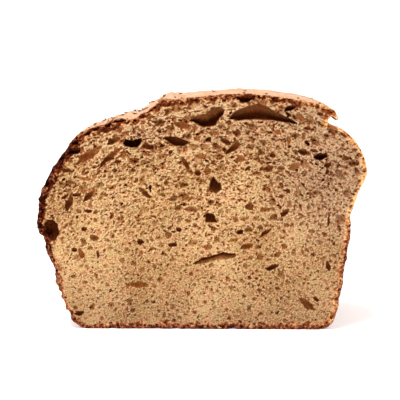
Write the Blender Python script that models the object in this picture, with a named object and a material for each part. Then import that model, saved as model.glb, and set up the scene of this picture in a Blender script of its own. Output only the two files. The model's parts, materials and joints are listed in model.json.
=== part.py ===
"""Half of a wholegrain sourdough tin loaf, standing on its base with the cut side to the front.

Metres, +Z up. The origin is the middle of the base under the loaf's bounding box. +X is across the
loaf, -Y is the side that the cut faces, and the baked end of the loaf is at +Y.

The loaf is one solid. Its cross-section is a closed curve through a few points on the cut side, and it
is carried back along the loaf to the rounded end that the tin formed. The larger gas bubbles that the
knife opened are hollows in the cut side.
"""

import math

import bmesh
import bpy
from mathutils import Euler, Matrix, Vector, noise

MM = 0.001

# Driving sizes, in millimetres.
LOAF_LENGTH = 112.0  # from the cut to the furthest point of the baked end
CROWN_HEIGHT = 90.0
BASE_SETBACK = 7.0  # how much shorter the loaf is at its base than at its bulge, from the tin's slope
BULGE_HEIGHT = 56.0
SIDE_TAPER = 0.03  # how much narrower the loaf is at its baked end
POLE_HEIGHT = 38.0  # the middle of the end wall, which every ring closes on
END_DISH = 1.5  # how deep the end wall is hollowed

# The cross-section at the cut, anticlockwise from the left of the base, as (x, z) in millimetres.
BASE = [(-44.2, 0.0), (44.5, 0.0)]
RIGHT_WALL = [(48.6, 1.8), (50.9, 6.5), (52.4, 14.0), (54.3, 26.0), (56.3, 40.5)]
RIGHT_CREASE = [(56.0, 43.8)]
RIGHT_BULGE = [(58.0, 49.0), (58.8, 52.2), (60.5, 55.4), (62.1, 59.2), (61.6, 64.5)]
# The right shoulder and the lip of crust that tore away above it: at the cut, further back, where the
# tear gapes, and near the baked end, where it has closed.
TORN_LIP = [
    (58.4, 71.0), (53.5, 76.0), (50.0, 77.6), (47.4, 79.4),
    (48.9, 81.4), (51.0, 79.9), (50.2, 83.3), (46.0, 85.4),
]
GAPING_LIP = [
    (57.9, 69.8), (52.9, 74.0), (49.7, 74.9), (46.9, 77.3),
    (48.6, 80.9), (50.4, 79.6), (49.6, 82.2), (45.6, 84.5),
]
CLOSED_LIP = [
    (58.4, 71.0), (53.5, 76.3), (52.6, 77.6), (51.8, 79.0),
    (51.0, 80.3), (50.1, 81.7), (48.6, 83.4), (45.8, 84.9),
]
CROWN = [(38.0, 87.3), (25.3, 89.2), (12.0, 90.0), (-2.0, 88.6), (-12.0, 87.7), (-15.6, 87.6)]
SPLIT = [(-18.2, 85.6), (-22.5, 82.4), (-27.5, 80.0)]
LEFT_SHOULDER = [(-31.0, 80.4), (-40.5, 77.3), (-46.8, 74.6), (-53.0, 67.2), (-58.2, 59.6)]
LEFT_BULGE = [(-62.0, 51.0), (-63.2, 43.0), (-62.6, 36.8)]
LEFT_WALL = [
    (-60.4, 34.4), (-59.4, 30.0), (-57.0, 24.2), (-55.8, 18.8), (-53.9, 13.8), (-51.2, 6.8), (-48.5, 1.9)
]
BEFORE_THE_LIP = BASE + RIGHT_WALL + RIGHT_CREASE + RIGHT_BULGE
AFTER_THE_LIP = CROWN + SPLIT + LEFT_SHOULDER + LEFT_BULGE + LEFT_WALL
OUTLINE_STEP = 3.9  # the length of an edge around the loaf

# Rings from the cut to the middle of the end wall.
WALL_RINGS = 22
END_RINGS = 10
BASE_EDGE_SHARPNESS = 13.0  # superellipse exponents of the end's edges: the higher, the squarer
CROWN_EDGE_SHARPNESS = 5.0
END_SMOOTHING = 40  # rounds of evening out the cross-section that the end wall closes to
FLAT_DROP = 0.2  # what lies lower than this is pressed flat by the tin's floor

# The split in the crown wanders along the loaf, and fills up behind the cut.
SPLIT_MIDDLE = -23.0
SPLIT_REACH = 13.0
SPLIT_DRIFT = 2.0
SPLIT_SWELL = 2.2
SPLIT_FLOOR_REACH = 6.5
CROWN_RISE = 0.4  # how much higher the crown stands behind the cut

TEAR_WIDENS = (0.0, 35.0)  # where along the loaf the tear under the crust's lip comes to gape
TEAR_CLOSES = (72.0, 102.0)  # where it runs out

# Uneven crust: a slow swell and smaller lumps.
SWELL = 1.1
SWELL_LENGTH = 38.0
LUMP = 0.55
LUMP_LENGTH = 9.0
UNEVEN_FROM = 14.0  # the cut side keeps its measured outline, and the swell grows from there to here
CRUST_SEED = Vector((3.1, 7.7, 1.9))

# The larger opened bubbles: (x, z, half length, half width, tilt in degrees, depth), in millimetres.
BUBBLES = [
    (20.7, 82.3, 10.2, 3.3, 2.0, 7.5),
    (31.2, 80.2, 6.2, 1.7, -28.0, 4.5),
    (1.9, 80.4, 6.6, 2.6, 18.0, 7.0),
    (-26.4, 71.1, 3.6, 1.5, 2.0, 6.0),
    (-42.4, 66.5, 5.8, 1.6, 33.0, 2.6),
    (-34.8, 64.3, 5.4, 1.5, 41.0, 3.4),
    (-48.2, 67.6, 2.2, 1.3, 15.0, 4.0),
    (-8.2, 71.3, 4.2, 1.6, -8.0, 4.5),
    (11.6, 69.2, 3.7, 1.2, 33.0, 3.6),
    (45.4, 66.4, 2.5, 1.6, 10.0, 4.5),
    (5.1, 55.3, 1.9, 2.8, 8.0, 4.5),
    (-57.3, 37.4, 2.3, 4.1, 4.0, 5.5),
    (-50.3, 47.9, 1.4, 3.0, -20.0, 4.0),
    (-42.2, 50.9, 1.2, 2.7, -35.0, 3.0),
    (5.1, 27.4, 8.0, 1.3, 11.0, 3.6),
    (3.4, 42.6, 1.9, 1.6, 0.0, 4.0),
    (40.1, 9.5, 3.5, 1.2, -38.0, 3.2),
    (31.9, 44.7, 2.3, 1.0, 50.0, 2.8),
]
BUBBLE_SINK = 0.35  # how far behind the cut the middle of a bubble lies
BIG_BUBBLE = 6.0  # a half length from which a bubble's surface gets more faces
COARSE_FACES = 2
FINE_FACES = 3
BUBBLE_ROUGHNESS = 0.16  # of its size
BUBBLE_LUMPS = 1.3

CRUST_COLOUR = (0.28, 0.115, 0.04, 1.0)
CRUMB_COLOUR = (0.52, 0.28, 0.12, 1.0)


def clear_scene():
    """Removes what the startup file holds."""
    for thing in list(bpy.data.objects):
        bpy.data.objects.remove(thing)


def smooth_step(low, high, value):
    """0 below low, 1 above high, and a smooth rise between them."""
    share = min(1.0, max(0.0, (value - low) / (high - low)))
    return share * share * (3.0 - 2.0 * share)


def mix(first, second, share):
    return first + (second - first) * share


def spline_point(before, start, end, after, share):
    """A point of the centripetal Catmull-Rom curve between start and end."""
    knots = [0.0]
    for a, b in ((before, start), (start, end), (end, after)):
        knots.append(knots[-1] + max(1e-6, (b - a).length) ** 0.5)
    at = mix(knots[1], knots[2], share)

    def between(a, b, low, high):
        return a * ((high - at) / (high - low)) + b * ((at - low) / (high - low))

    first = between(before, start, knots[0], knots[1])
    second = between(start, end, knots[1], knots[2])
    third = between(end, after, knots[2], knots[3])
    fourth = between(first, second, knots[0], knots[2])
    fifth = between(second, third, knots[1], knots[3])
    return between(fourth, fifth, knots[1], knots[2])


def outline_steps():
    """How many edges each stretch of the outline gets."""
    knots = [Vector(p) for p in BEFORE_THE_LIP + TORN_LIP + AFTER_THE_LIP]
    ends = knots[1:] + knots[:1]
    return [max(1, round((end - start).length / OUTLINE_STEP)) for start, end in zip(knots, ends)]


def cross_section(lip):
    """The outline with this lip as a closed row of points, with the base kept flat."""
    knots = [Vector(p) for p in BEFORE_THE_LIP + lip + AFTER_THE_LIP]
    count = len(knots)
    points = []
    for i, steps in enumerate(outline_steps()):
        start, end = knots[i], knots[(i + 1) % count]
        for step in range(steps):
            share = step / steps
            if i == 0:
                point = start.lerp(end, share)
            else:
                point = spline_point(knots[i - 1], start, end, knots[(i + 2) % count], share)
            points.append(Vector((point.x, max(0.0, point.y))))
    return points


def along_and_inward(stage, sharpness):
    """How far along the loaf a ring lies and how much it has closed, both from 0 to 1, on a superellipse.

    The first half of the stages walks along the wall, and the second half down the end wall.
    """
    corner = 2.0 ** (-1.0 / sharpness)
    if stage <= 0.5:
        along = corner * stage * 2.0
        return along, (1.0 - along**sharpness) ** (1.0 / sharpness)
    width = corner * (1.0 - stage) * 2.0
    return (1.0 - width**sharpness) ** (1.0 / sharpness), width


def evened(section):
    """The cross-section with its creases and steps evened out, for the end wall to close to."""
    points = list(section)
    for _ in range(END_SMOOTHING):
        points = [(points[i - 1] + p + points[(i + 1) % len(points)]) / 3.0 for i, p in enumerate(points)]
    return points


def section_point(lips, y):
    """A point of the cross-section this far along, given where it lies with each of the three lips."""
    torn, gaping, closed = lips
    x, z = torn.lerp(gaping, smooth_step(*TEAR_WIDENS, y)).lerp(closed, smooth_step(*TEAR_CLOSES, y))
    share = y / LOAF_LENGTH
    on_crown = smooth_step(66.0, 78.0, z)
    near_split = math.exp(-(((x - SPLIT_MIDDLE) / SPLIT_REACH) ** 2)) * on_crown
    in_split = math.exp(-(((x - SPLIT_MIDDLE) / SPLIT_FLOOR_REACH) ** 2)) * on_crown
    wander = math.sin(share * math.tau) * SPLIT_DRIFT
    swell = math.sin(share * math.pi) * SPLIT_SWELL * in_split
    rise = math.sin(share * math.pi) * CROWN_RISE * on_crown
    return Vector((x + near_split * wander, z + swell + rise))


def unevenness(place):
    """How far the crust stands out at a place, in millimetres."""
    swell = noise.noise(place / SWELL_LENGTH + CRUST_SEED) * SWELL
    lump = noise.noise(place / LUMP_LENGTH - CRUST_SEED) * LUMP
    return swell * smooth_step(0.0, UNEVEN_FROM, place.y) + lump * smooth_step(0.0, 2.0, place.y)


def loaf_point(lips, even, stage):
    """The place of a cross-section's point on the ring at this stage, in millimetres from the cut."""
    torn = lips[0]
    sharpness = mix(BASE_EDGE_SHARPNESS, CROWN_EDGE_SHARPNESS, smooth_step(40.0, CROWN_HEIGHT, torn.y))
    along, width = along_and_inward(stage, sharpness)
    own_shape = smooth_step(0.35, 0.9, width)
    height = mix(POLE_HEIGHT, mix(even.y, torn.y, own_shape), width)
    lift = smooth_step(0.0, BULGE_HEIGHT, height)
    reach = LOAF_LENGTH - BASE_SETBACK * (1.0 - lift) - END_DISH * (1.0 - width * width)
    y = along * reach
    x, z = even.lerp(section_point(lips, y), own_shape)
    x *= width * (1.0 - SIDE_TAPER * y / LOAF_LENGTH)
    place = Vector((x, y, mix(POLE_HEIGHT, z, width)))
    outwards = Vector((place.x, 0.0, place.z - POLE_HEIGHT)) * width
    outwards.y = LOAF_LENGTH * 0.5 * along**sharpness
    if outwards.length > 0.0:
        bump = outwards.normalized() * unevenness(place)
        bump.z *= smooth_step(0.5, 6.0, place.z)  # the base stays flat, and only its edge wavers
        place += bump
    place.z = max(0.0, place.z - FLAT_DROP * min(1.0, y))
    return place


def fit_to_length(shell):
    """Stretches the loaf to its length and puts the middle of its width at x = 0."""
    across = [vert.co.x for vert in shell.verts]
    stretch = LOAF_LENGTH / max(vert.co.y for vert in shell.verts)
    for vert in shell.verts:
        vert.co.x -= (max(across) + min(across)) / 2.0
        vert.co.y *= stretch


def loaf_mesh():
    """The closed skin of the loaf: the cut side, the rings and the middle of the end wall."""
    sections = [cross_section(lip) for lip in (TORN_LIP, GAPING_LIP, CLOSED_LIP)]
    stages = [0.5 * i / WALL_RINGS for i in range(WALL_RINGS)]
    stages += [0.5 + 0.5 * i / END_RINGS for i in range(END_RINGS)]
    shell = bmesh.new()
    corners = list(zip(zip(*sections), evened(sections[-1])))
    rings = [[shell.verts.new(loaf_point(*corner, stage)) for corner in corners] for stage in stages]
    middle = Vector((0.0, POLE_HEIGHT))
    pole = shell.verts.new(loaf_point([middle] * len(sections), middle, 1.0))
    shell.faces.new(rings[0])
    count = len(corners)
    for near, far in zip(rings, rings[1:]):
        for i in range(count):
            j = (i + 1) % count
            shell.faces.new((near[j], near[i], far[i], far[j]))
    for i in range(count):
        shell.faces.new((rings[-1][(i + 1) % count], rings[-1][i], pole))
    bmesh.ops.recalc_face_normals(shell, faces=shell.faces)
    fit_to_length(shell)
    return shell


def material(name, colour, roughness):
    made = bpy.data.materials.new(name)
    made.use_nodes = True
    shader = made.node_tree.nodes["Principled BSDF"]
    shader.inputs["Base Color"].default_value = colour
    shader.inputs["Roughness"].default_value = roughness
    shader.inputs["Metallic"].default_value = 0.0
    return made


def bubble_cutter(number, x, z, half_length, half_width, tilt, depth):
    """A lumpy ball whose middle lies just behind the cut side, so that half of it is cut out."""
    ball = bmesh.new()
    faces = FINE_FACES if max(half_length, half_width) >= BIG_BUBBLE else COARSE_FACES
    bmesh.ops.create_icosphere(ball, subdivisions=faces, radius=1.0)
    for vert in ball.verts:
        lump = noise.noise(vert.co * BUBBLE_LUMPS + Vector((number, 0.0, 0.0)))
        vert.co *= 1.0 + BUBBLE_ROUGHNESS * lump
    turn = Euler((0.0, math.radians(-tilt), 0.0)).to_matrix().to_4x4()
    size = Matrix.Diagonal((half_length, depth, half_width, 1.0))
    ball.transform(Matrix.Translation((x, BUBBLE_SINK, z)) @ turn @ size)
    return ball


def object_from(shell, name, collection):
    """Makes the shell a mesh object in metres, with the loaf's middle at the origin."""
    shell.transform(Matrix.Scale(MM, 4) @ Matrix.Translation((0.0, -LOAF_LENGTH / 2.0, 0.0)))
    mesh = bpy.data.meshes.new(name)
    shell.to_mesh(mesh)
    shell.free()
    made = bpy.data.objects.new(name, mesh)
    collection.objects.link(made)
    return made


def add_bubbles(loaf, crumb):
    """Cuts the opened bubbles out of the cut side. The cutters stay as hidden wire balls."""
    cutters = bpy.data.collections.new("bubble_cutters")
    bpy.context.scene.collection.children.link(cutters)
    for number, bubble in enumerate(BUBBLES):
        cutter = object_from(bubble_cutter(number, *bubble), f"bubble_{number:02d}", cutters)
        cutter.data.materials.append(crumb)
        cutter.hide_render = True
        cutter.display_type = "WIRE"
    cut = loaf.modifiers.new("opened bubbles", "BOOLEAN")
    cut.operation = "DIFFERENCE"
    cut.operand_type = "COLLECTION"
    cut.collection = cutters
    cut.solver = "EXACT"
    cut.material_mode = "TRANSFER"


def build():
    clear_scene()
    crust = material("baked_crust", CRUST_COLOUR, 0.85)
    crumb = material("open_crumb", CRUMB_COLOUR, 0.95)
    loaf = object_from(loaf_mesh(), "loaf", bpy.context.scene.collection)
    loaf.data.materials.append(crust)
    loaf.data.materials.append(crumb)
    for face in loaf.data.polygons:
        face.material_index = 1 if face.normal.y < -0.99 else 0
        face.use_smooth = face.material_index == 0
    add_bubbles(loaf, crumb)


build()
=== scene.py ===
"""Looks of half a wholegrain sourdough tin loaf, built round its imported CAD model.

The loaf stands on its base with the cut side to the front. Two skins stand for its one solid: the crust
that the tin and the oven baked, and the open crumb that the knife laid bare. They meet along the edge of
the cut. Bran flakes lie on the crust. Sizes are in millimetres until a mesh is placed, in metres.
"""

from __future__ import annotations

import json
import logging
import math
from collections.abc import Iterator, Sequence
from dataclasses import dataclass, field
from enum import Enum
from functools import partial

import bpy
import numpy as np
from mathutils import Euler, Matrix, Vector, noise

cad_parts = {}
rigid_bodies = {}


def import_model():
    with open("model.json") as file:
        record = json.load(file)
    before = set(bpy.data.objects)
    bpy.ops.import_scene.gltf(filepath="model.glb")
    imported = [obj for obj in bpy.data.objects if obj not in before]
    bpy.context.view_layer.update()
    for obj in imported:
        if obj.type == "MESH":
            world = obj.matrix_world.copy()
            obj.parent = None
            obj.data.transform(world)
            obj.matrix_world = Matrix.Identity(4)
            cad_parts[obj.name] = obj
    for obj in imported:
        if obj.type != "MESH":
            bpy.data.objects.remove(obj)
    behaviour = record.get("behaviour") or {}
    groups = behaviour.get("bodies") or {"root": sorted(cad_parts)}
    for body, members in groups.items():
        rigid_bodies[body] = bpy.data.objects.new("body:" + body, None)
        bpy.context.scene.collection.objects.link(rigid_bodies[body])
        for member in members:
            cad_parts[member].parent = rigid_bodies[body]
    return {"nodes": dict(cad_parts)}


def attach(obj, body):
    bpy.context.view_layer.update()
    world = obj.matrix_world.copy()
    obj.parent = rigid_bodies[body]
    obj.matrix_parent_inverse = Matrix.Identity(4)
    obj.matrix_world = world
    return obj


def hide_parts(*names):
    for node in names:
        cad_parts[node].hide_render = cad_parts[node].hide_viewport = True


MM = 0.001
NODE = "loaf"
BODY = "root"
BAKE_MAP = "OFBake"
TINY = 1e-9
BLACK, WHITE = "#000000", "#FFFFFF"
# how a Mix node lays one colour over another, and how it tints one with another
BLEND = {"data_type": "RGBA"}
TINT = {"data_type": "RGBA", "blend_type": "MULTIPLY"}
# two numbers between which something lies or changes, the first of which may be the larger
Span = tuple[float, float]

log = logging.getLogger("loaf")


# ---- Small helpers ----


def linear(colour: str) -> tuple[float, float, float, float]:
    """Turns an sRGB hex colour to linear.

    Args:
        colour: six hex digits after a #.

    Returns:
        Linear red, green, blue and an alpha of 1.
    """
    parts = [int(colour[i : i + 2], 16) / 255.0 for i in (1, 3, 5)]
    red, green, blue = (c / 12.92 if c <= 0.04045 else ((c + 0.055) / 1.055) ** 2.4 for c in parts)
    return red, green, blue, 1.0


def per_metre(size_mm: float) -> float:
    """The scale of a texture node whose features are this many millimetres apart."""
    return 1.0 / (size_mm * MM)


def smooth_step(low: float, high: float, value: np.ndarray | float) -> np.ndarray:
    """A smooth rise from 0 where the value is low to 1 where it is high. Low may be the larger number."""
    share = np.clip((np.asarray(value, dtype=float) - low) / (high - low), 0.0, 1.0)
    return share * share * (3.0 - 2.0 * share)


def mix(first: np.ndarray | float, second: np.ndarray | float, share: np.ndarray | float) -> np.ndarray:
    """The first value where share is 0 and the second where it is 1."""
    return first + (second - first) * share


def noise_at(places: np.ndarray, size: float, offset: Vector) -> np.ndarray:
    """Noise from about -1 to 1 at rows of x, y, z. Its size is in millimetres, the offset picks a part."""
    return np.array([noise.noise(Vector(p) / size + offset) for p in places])


def nearest_on(
    start: np.ndarray, end: np.ndarray, x: np.ndarray, z: np.ndarray
) -> tuple[np.ndarray, np.ndarray, np.ndarray]:
    """Finds the nearest place on a straight line from start to end.

    Args:
        start: the line's first x, z.
        end: the line's last x, z.
        x: where to look from.
        z: where to look from.

    Returns:
        The nearest places' x and z, and how far off they are.
    """
    along = end - start
    share = ((x - start[0]) * along[0] + (z - start[1]) * along[1]) / max(TINY, along @ along)
    share = np.clip(share, 0.0, 1.0)
    at_x, at_z = start[0] + share * along[0], start[1] + share * along[1]
    return at_x, at_z, np.hypot(x - at_x, z - at_z)


def sides(outline: np.ndarray) -> Iterator[tuple[np.ndarray, np.ndarray]]:
    """The sides of a closed outline, each as its two ends."""
    return zip(outline, np.roll(outline, -1, axis=0))


def read_all(items: bpy.types.bpy_prop_collection, name: str, width: int) -> np.ndarray:
    """Reads one property of every item.

    Args:
        items: a mesh's vertices, faces or the like.
        name: the property.
        width: how many numbers it has.

    Returns:
        One row an item.
    """
    flat = np.empty(len(items) * width, dtype=np.float32)
    items.foreach_get(name, flat)
    return flat.reshape(-1, width).astype(float)


def write_all(items: bpy.types.bpy_prop_collection, name: str, values: np.ndarray) -> None:
    """Sets one property of every item, from one number or row an item."""
    items.foreach_set(name, np.asarray(values, dtype=np.float32).ravel())


def deselect() -> None:
    """Leaves nothing selected, so that an operator acts on its own object alone."""
    if bpy.context.object and bpy.context.object.mode != "OBJECT":
        bpy.ops.object.mode_set(mode="OBJECT")
    bpy.ops.object.select_all(action="DESELECT")


def pick(thing: bpy.types.Object) -> None:
    """Makes one object the selected and active one.

    Args:
        thing: the object.
    """
    deselect()
    thing.select_set(True)
    bpy.context.view_layer.objects.active = thing


def places_of(thing: bpy.types.Object) -> np.ndarray:
    """The object's vertices as rows of x, y, z in millimetres."""
    return read_all(thing.data.vertices, "co", 3) / MM


def move_to(thing: bpy.types.Object, places: np.ndarray) -> None:
    """Puts the object's vertices at these rows of x, y, z in millimetres."""
    write_all(thing.data.vertices, "co", places * MM)
    thing.data.update()


def add_grid(name: str, across: int, up: int) -> bpy.types.Object:
    """Adds a grid of this many faces each way, with its own map named for baking.

    Args:
        name: what to call the object and its mesh.
        across: faces along the grid's x.
        up: faces along the grid's y.

    Returns:
        The grid, whose vertices run along x first.
    """
    deselect()
    bpy.ops.mesh.primitive_grid_add(x_subdivisions=across, y_subdivisions=up, size=1.0, calc_uvs=True)
    grid = bpy.context.object
    grid.name = grid.data.name = name
    grid.data.uv_layers[0].name = BAKE_MAP
    return grid


def give_attribute(thing: bpy.types.Object, name: str, values: np.ndarray) -> None:
    """Stores one number at each vertex, for the materials to read."""
    write_all(thing.data.attributes.new(name, "FLOAT", "POINT").data, "value", values)


def shade(thing: bpy.types.Object, finish: bpy.types.Material) -> None:
    """Shades an object smoothly and gives it its one material.

    Args:
        thing: the object.
        finish: the material.
    """
    pick(thing)
    bpy.ops.object.shade_smooth()
    thing.data.materials.clear()
    thing.data.materials.append(finish)


def weigh(thing: bpy.types.Object, name: str, weights: np.ndarray, levels: int = 40) -> None:
    """Makes a vertex group, for a modifier to act in.

    Args:
        thing: the mesh object.
        name: the group's name.
        weights: from 0 to 1, one a vertex.
        levels: how many weights the group tells apart.
    """
    group = thing.vertex_groups.new(name=name)
    steps = np.round(np.clip(weights, 0.0, 1.0) * levels).astype(int)
    for step in range(1, levels + 1):
        chosen = np.flatnonzero(steps == step)
        if len(chosen):
            group.add(chosen.tolist(), step / levels, "REPLACE")


def apply_modifier(thing: bpy.types.Object, name: str, kind: str, **settings: object) -> None:
    """Adds a modifier and applies it at once.

    Args:
        thing: the object.
        name: the modifier's name.
        kind: Blender's name for its type.
        settings: values to set on it.
    """
    pick(thing)
    modifier = thing.modifiers.new(name, kind)
    for key, value in settings.items():
        setattr(modifier, key, value)
    bpy.ops.object.modifier_apply(modifier=modifier.name)


def new_material(name: str) -> tuple[bpy.types.Material, bpy.types.Node]:
    """Starts a material.

    Args:
        name: what to call it.

    Returns:
        The material and its shader.
    """
    made = bpy.data.materials.new(name)
    made.use_nodes = True
    return made, made.node_tree.nodes["Principled BSDF"]


def feed(node: bpy.types.Node, inputs: dict[str | int, object]) -> None:
    """Fills the input sockets of a node.

    Args:
        node: the node.
        inputs: what each socket gets: a constant, or the other node's socket that leads into it.
    """
    for key, source in inputs.items():
        if isinstance(source, bpy.types.NodeSocket):
            node.id_data.links.new(source, node.inputs[key])
        else:
            node.inputs[key].default_value = source


def add_node(
    tree: bpy.types.NodeTree,
    kind: str,
    inputs: dict[str | int, object] | None = None,
    output: str | int = 0,
    stops: Sequence[tuple[float, str]] = (),
    **settings: object,
) -> bpy.types.NodeSocket:
    """Adds one node with its settings and links.

    Args:
        tree: the nodes of a material or of the world.
        kind: Blender's name for the node's type, without the ShaderNode that they all begin with.
        inputs: what its input sockets get, as feed takes it.
        output: which of its outputs is wanted.
        stops: the places from 0 to 1 on a colour ramp, each with its hex colour.
        settings: properties to set on the node.

    Returns:
        The output's socket.
    """
    node = tree.nodes.new("ShaderNode" + kind)
    for key, value in settings.items():
        setattr(node, key, value)
    feed(node, inputs or {})
    if stops:
        elements = node.color_ramp.elements
        while len(elements) < len(stops):
            elements.new(1.0)
        for element, (place, colour) in zip(elements, stops):
            element.position = place
            element.color = linear(colour)
    return node.outputs[output]


@dataclass(frozen=True)
class Zone:
    """A part of the loaf, as seen from the front.

    Along x and along z it begins at the first number and holds fully from the second, which may be the
    smaller one. None leaves that direction free.
    """

    x: Span | None = None
    z: Span | None = None

    def share(self, x: np.ndarray | float, z: np.ndarray | float) -> np.ndarray:
        """How fully each place lies in the zone, from 0 to 1."""
        ends = ((self.x, x), (self.z, z))
        return math.prod(smooth_step(*pair, value) if pair else 1.0 for pair, value in ends)


# ---- The loaf's form, the same as the solid's ----


@dataclass(frozen=True)
class LoafForm:
    """The outline of the cut and how it changes along the loaf, in millimetres.

    The numbers are the solid's own. Places are given by a column round the outline and a stage along
    the loaf: 0 is the cut, 0.5 the edge of the baked end and 1 the middle of the end wall.
    """

    length: float = 112.0
    crown_height: float = 90.0
    base_setback: float = 7.0
    bulge_height: float = 56.0
    side_taper: float = 0.03
    pole_height: float = 38.0
    end_dish: float = 1.5

    before_the_lip: tuple[Span, ...] = (
        (-44.2, 0.0), (44.5, 0.0),
        (48.6, 1.8), (50.9, 6.5), (52.4, 14.0), (54.3, 26.0), (56.3, 40.5),
        (56.0, 43.8),
        (58.0, 49.0), (58.8, 52.2), (60.5, 55.4), (62.1, 59.2), (61.6, 64.5),
    )
    torn_lip: tuple[Span, ...] = (
        (58.4, 71.0), (53.5, 76.0), (50.0, 77.6), (47.4, 79.4),
        (48.9, 81.4), (51.0, 79.9), (50.2, 83.3), (46.0, 85.4),
    )
    gaping_lip: tuple[Span, ...] = (
        (57.9, 69.8), (52.9, 74.0), (49.7, 74.9), (46.9, 77.3),
        (48.6, 80.9), (50.4, 79.6), (49.6, 82.2), (45.6, 84.5),
    )
    closed_lip: tuple[Span, ...] = (
        (58.4, 71.0), (53.5, 76.3), (52.6, 77.6), (51.8, 79.0),
        (51.0, 80.3), (50.1, 81.7), (48.6, 83.4), (45.8, 84.9),
    )
    after_the_lip: tuple[Span, ...] = (
        (38.0, 87.3), (25.3, 89.2), (12.0, 90.0), (-2.0, 88.6), (-12.0, 87.7), (-15.6, 87.6),
        (-18.2, 85.6), (-22.5, 82.4), (-27.5, 80.0),
        (-31.0, 80.4), (-40.5, 77.3), (-46.8, 74.6), (-53.0, 67.2), (-58.2, 59.6),
        (-62.0, 51.0), (-63.2, 43.0), (-62.6, 36.8),
        (-60.4, 34.4), (-59.4, 30.0), (-57.0, 24.2), (-55.8, 18.8), (-53.9, 13.8), (-51.2, 6.8),
        (-48.5, 1.9),
    )
    samples: int = 24  # places tried on each stretch of the outline when it is measured out
    evening: float = 19.0  # how far round the loaf the end wall's creases are evened out
    own_shape: Span = (0.35, 0.9)  # how wide the end wall is where the creases set in

    base_edge_sharpness: float = 13.0
    crown_edge_sharpness: float = 5.0
    edge_softens_at: float = 40.0  # the height from which the edge of the end is rounder
    flat_drop: float = 0.2

    crown: Zone = Zone(z=(66.0, 78.0))
    split_middle: float = -23.0
    split_reach: float = 13.0
    split_drift: float = 2.0
    split_swell: float = 2.2
    split_floor_reach: float = 6.5
    crown_rise: float = 0.4
    tear_widens: Span = (0.0, 35.0)
    tear_closes: Span = (72.0, 102.0)

    swell: float = 1.1
    swell_length: float = 38.0
    swell_begins: Span = (0.0, 14.0)  # how far behind the cut
    lump: float = 0.55
    lump_length: float = 9.0
    lump_begins: Span = (0.0, 2.0)
    off_base: Zone = Zone(z=(0.5, 6.0))  # where the swells and lumps may lift the crust
    crust_seed: Vector = field(default_factory=lambda: Vector((3.1, 7.7, 1.9)))

    def spline(self, knots: np.ndarray, at: np.ndarray) -> np.ndarray:
        """Points on the closed centripetal Catmull-Rom curve through the knots.

        Args:
            knots: rows of x, z.
            at: where to measure, as a knot's number and the share of the way to the next.

        Returns:
            Rows of x, z.
        """
        count = len(knots)
        first = np.floor(at).astype(int) % count
        share = (at - np.floor(at))[:, None]
        row = [knots[(first + step) % count] for step in (-1, 0, 1, 2)]
        when = [np.zeros_like(share)]
        for a, b in zip(row, row[1:]):
            gap = np.maximum(1e-6, np.linalg.norm(b - a, axis=1))[:, None]
            when.append(when[-1] + np.sqrt(gap))
        now = mix(when[1], when[2], share)

        def between(a: np.ndarray, b: np.ndarray, i: int, j: int) -> np.ndarray:
            """The line from a at time i to b at time j."""
            return (a * (when[j] - now) + b * (now - when[i])) / (when[j] - when[i])

        lines = [between(row[i], row[i + 1], i, i + 1) for i in range(3)]
        curves = [between(lines[i], lines[i + 1], i, i + 2) for i in range(2)]
        points = between(curves[0], curves[1], 1, 2)
        base = first == 0
        points[base] = mix(row[1][base], row[2][base], share[base])
        points[:, 1] = np.maximum(0.0, points[:, 1])
        return points

    def sections(self, columns: int) -> tuple[list[np.ndarray], np.ndarray]:
        """The cross-section with each of its three lips, and evened out for the end wall.

        Args:
            columns: how many places round the loaf, evenly spaced.

        Returns:
            The torn, gaping and closed sections and the even one, as rows of x, z.
        """
        lips = (self.torn_lip, self.gaping_lip, self.closed_lip)
        knots = [np.array(self.before_the_lip + lip + self.after_the_lip) for lip in lips]
        tried = np.arange(len(knots[0]) * self.samples + 1) / self.samples
        curve = self.spline(knots[0], tried)
        run = np.concatenate([[0.0], np.cumsum(np.linalg.norm(np.diff(curve, axis=0), axis=1))])
        at = np.interp(np.arange(columns) / columns * run[-1], run, tried)
        sections = [self.spline(row, at) for row in knots]
        waves = np.fft.fftfreq(columns, run[-1] / columns)[:, None]
        kept = np.exp(-2.0 * (math.pi * self.evening * waves) ** 2)
        even = np.fft.ifft(np.fft.fft(sections[-1], axis=0) * kept, axis=0).real
        return sections, even

    def along_and_inward(self, stage: np.ndarray, sharpness: np.ndarray) -> tuple[np.ndarray, np.ndarray]:
        """How far along a place lies and how wide the loaf still is there, on a superellipse.

        Args:
            stage: from 0 at the cut to 1 at the middle of the end wall.
            sharpness: how square the edge of the end is, the higher the squarer.

        Returns:
            Both as shares from 0 to 1, in the two arrays' common shape.
        """
        corner = 2.0 ** (-1.0 / sharpness)
        wall = corner * np.minimum(stage, 0.5) * 2.0
        end = corner * (1.0 - np.maximum(stage, 0.5)) * 2.0
        on_wall = stage <= 0.5
        along = np.where(on_wall, wall, (1.0 - end**sharpness) ** (1.0 / sharpness))
        width = np.where(on_wall, (1.0 - wall**sharpness) ** (1.0 / sharpness), end)
        return along, width

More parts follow.
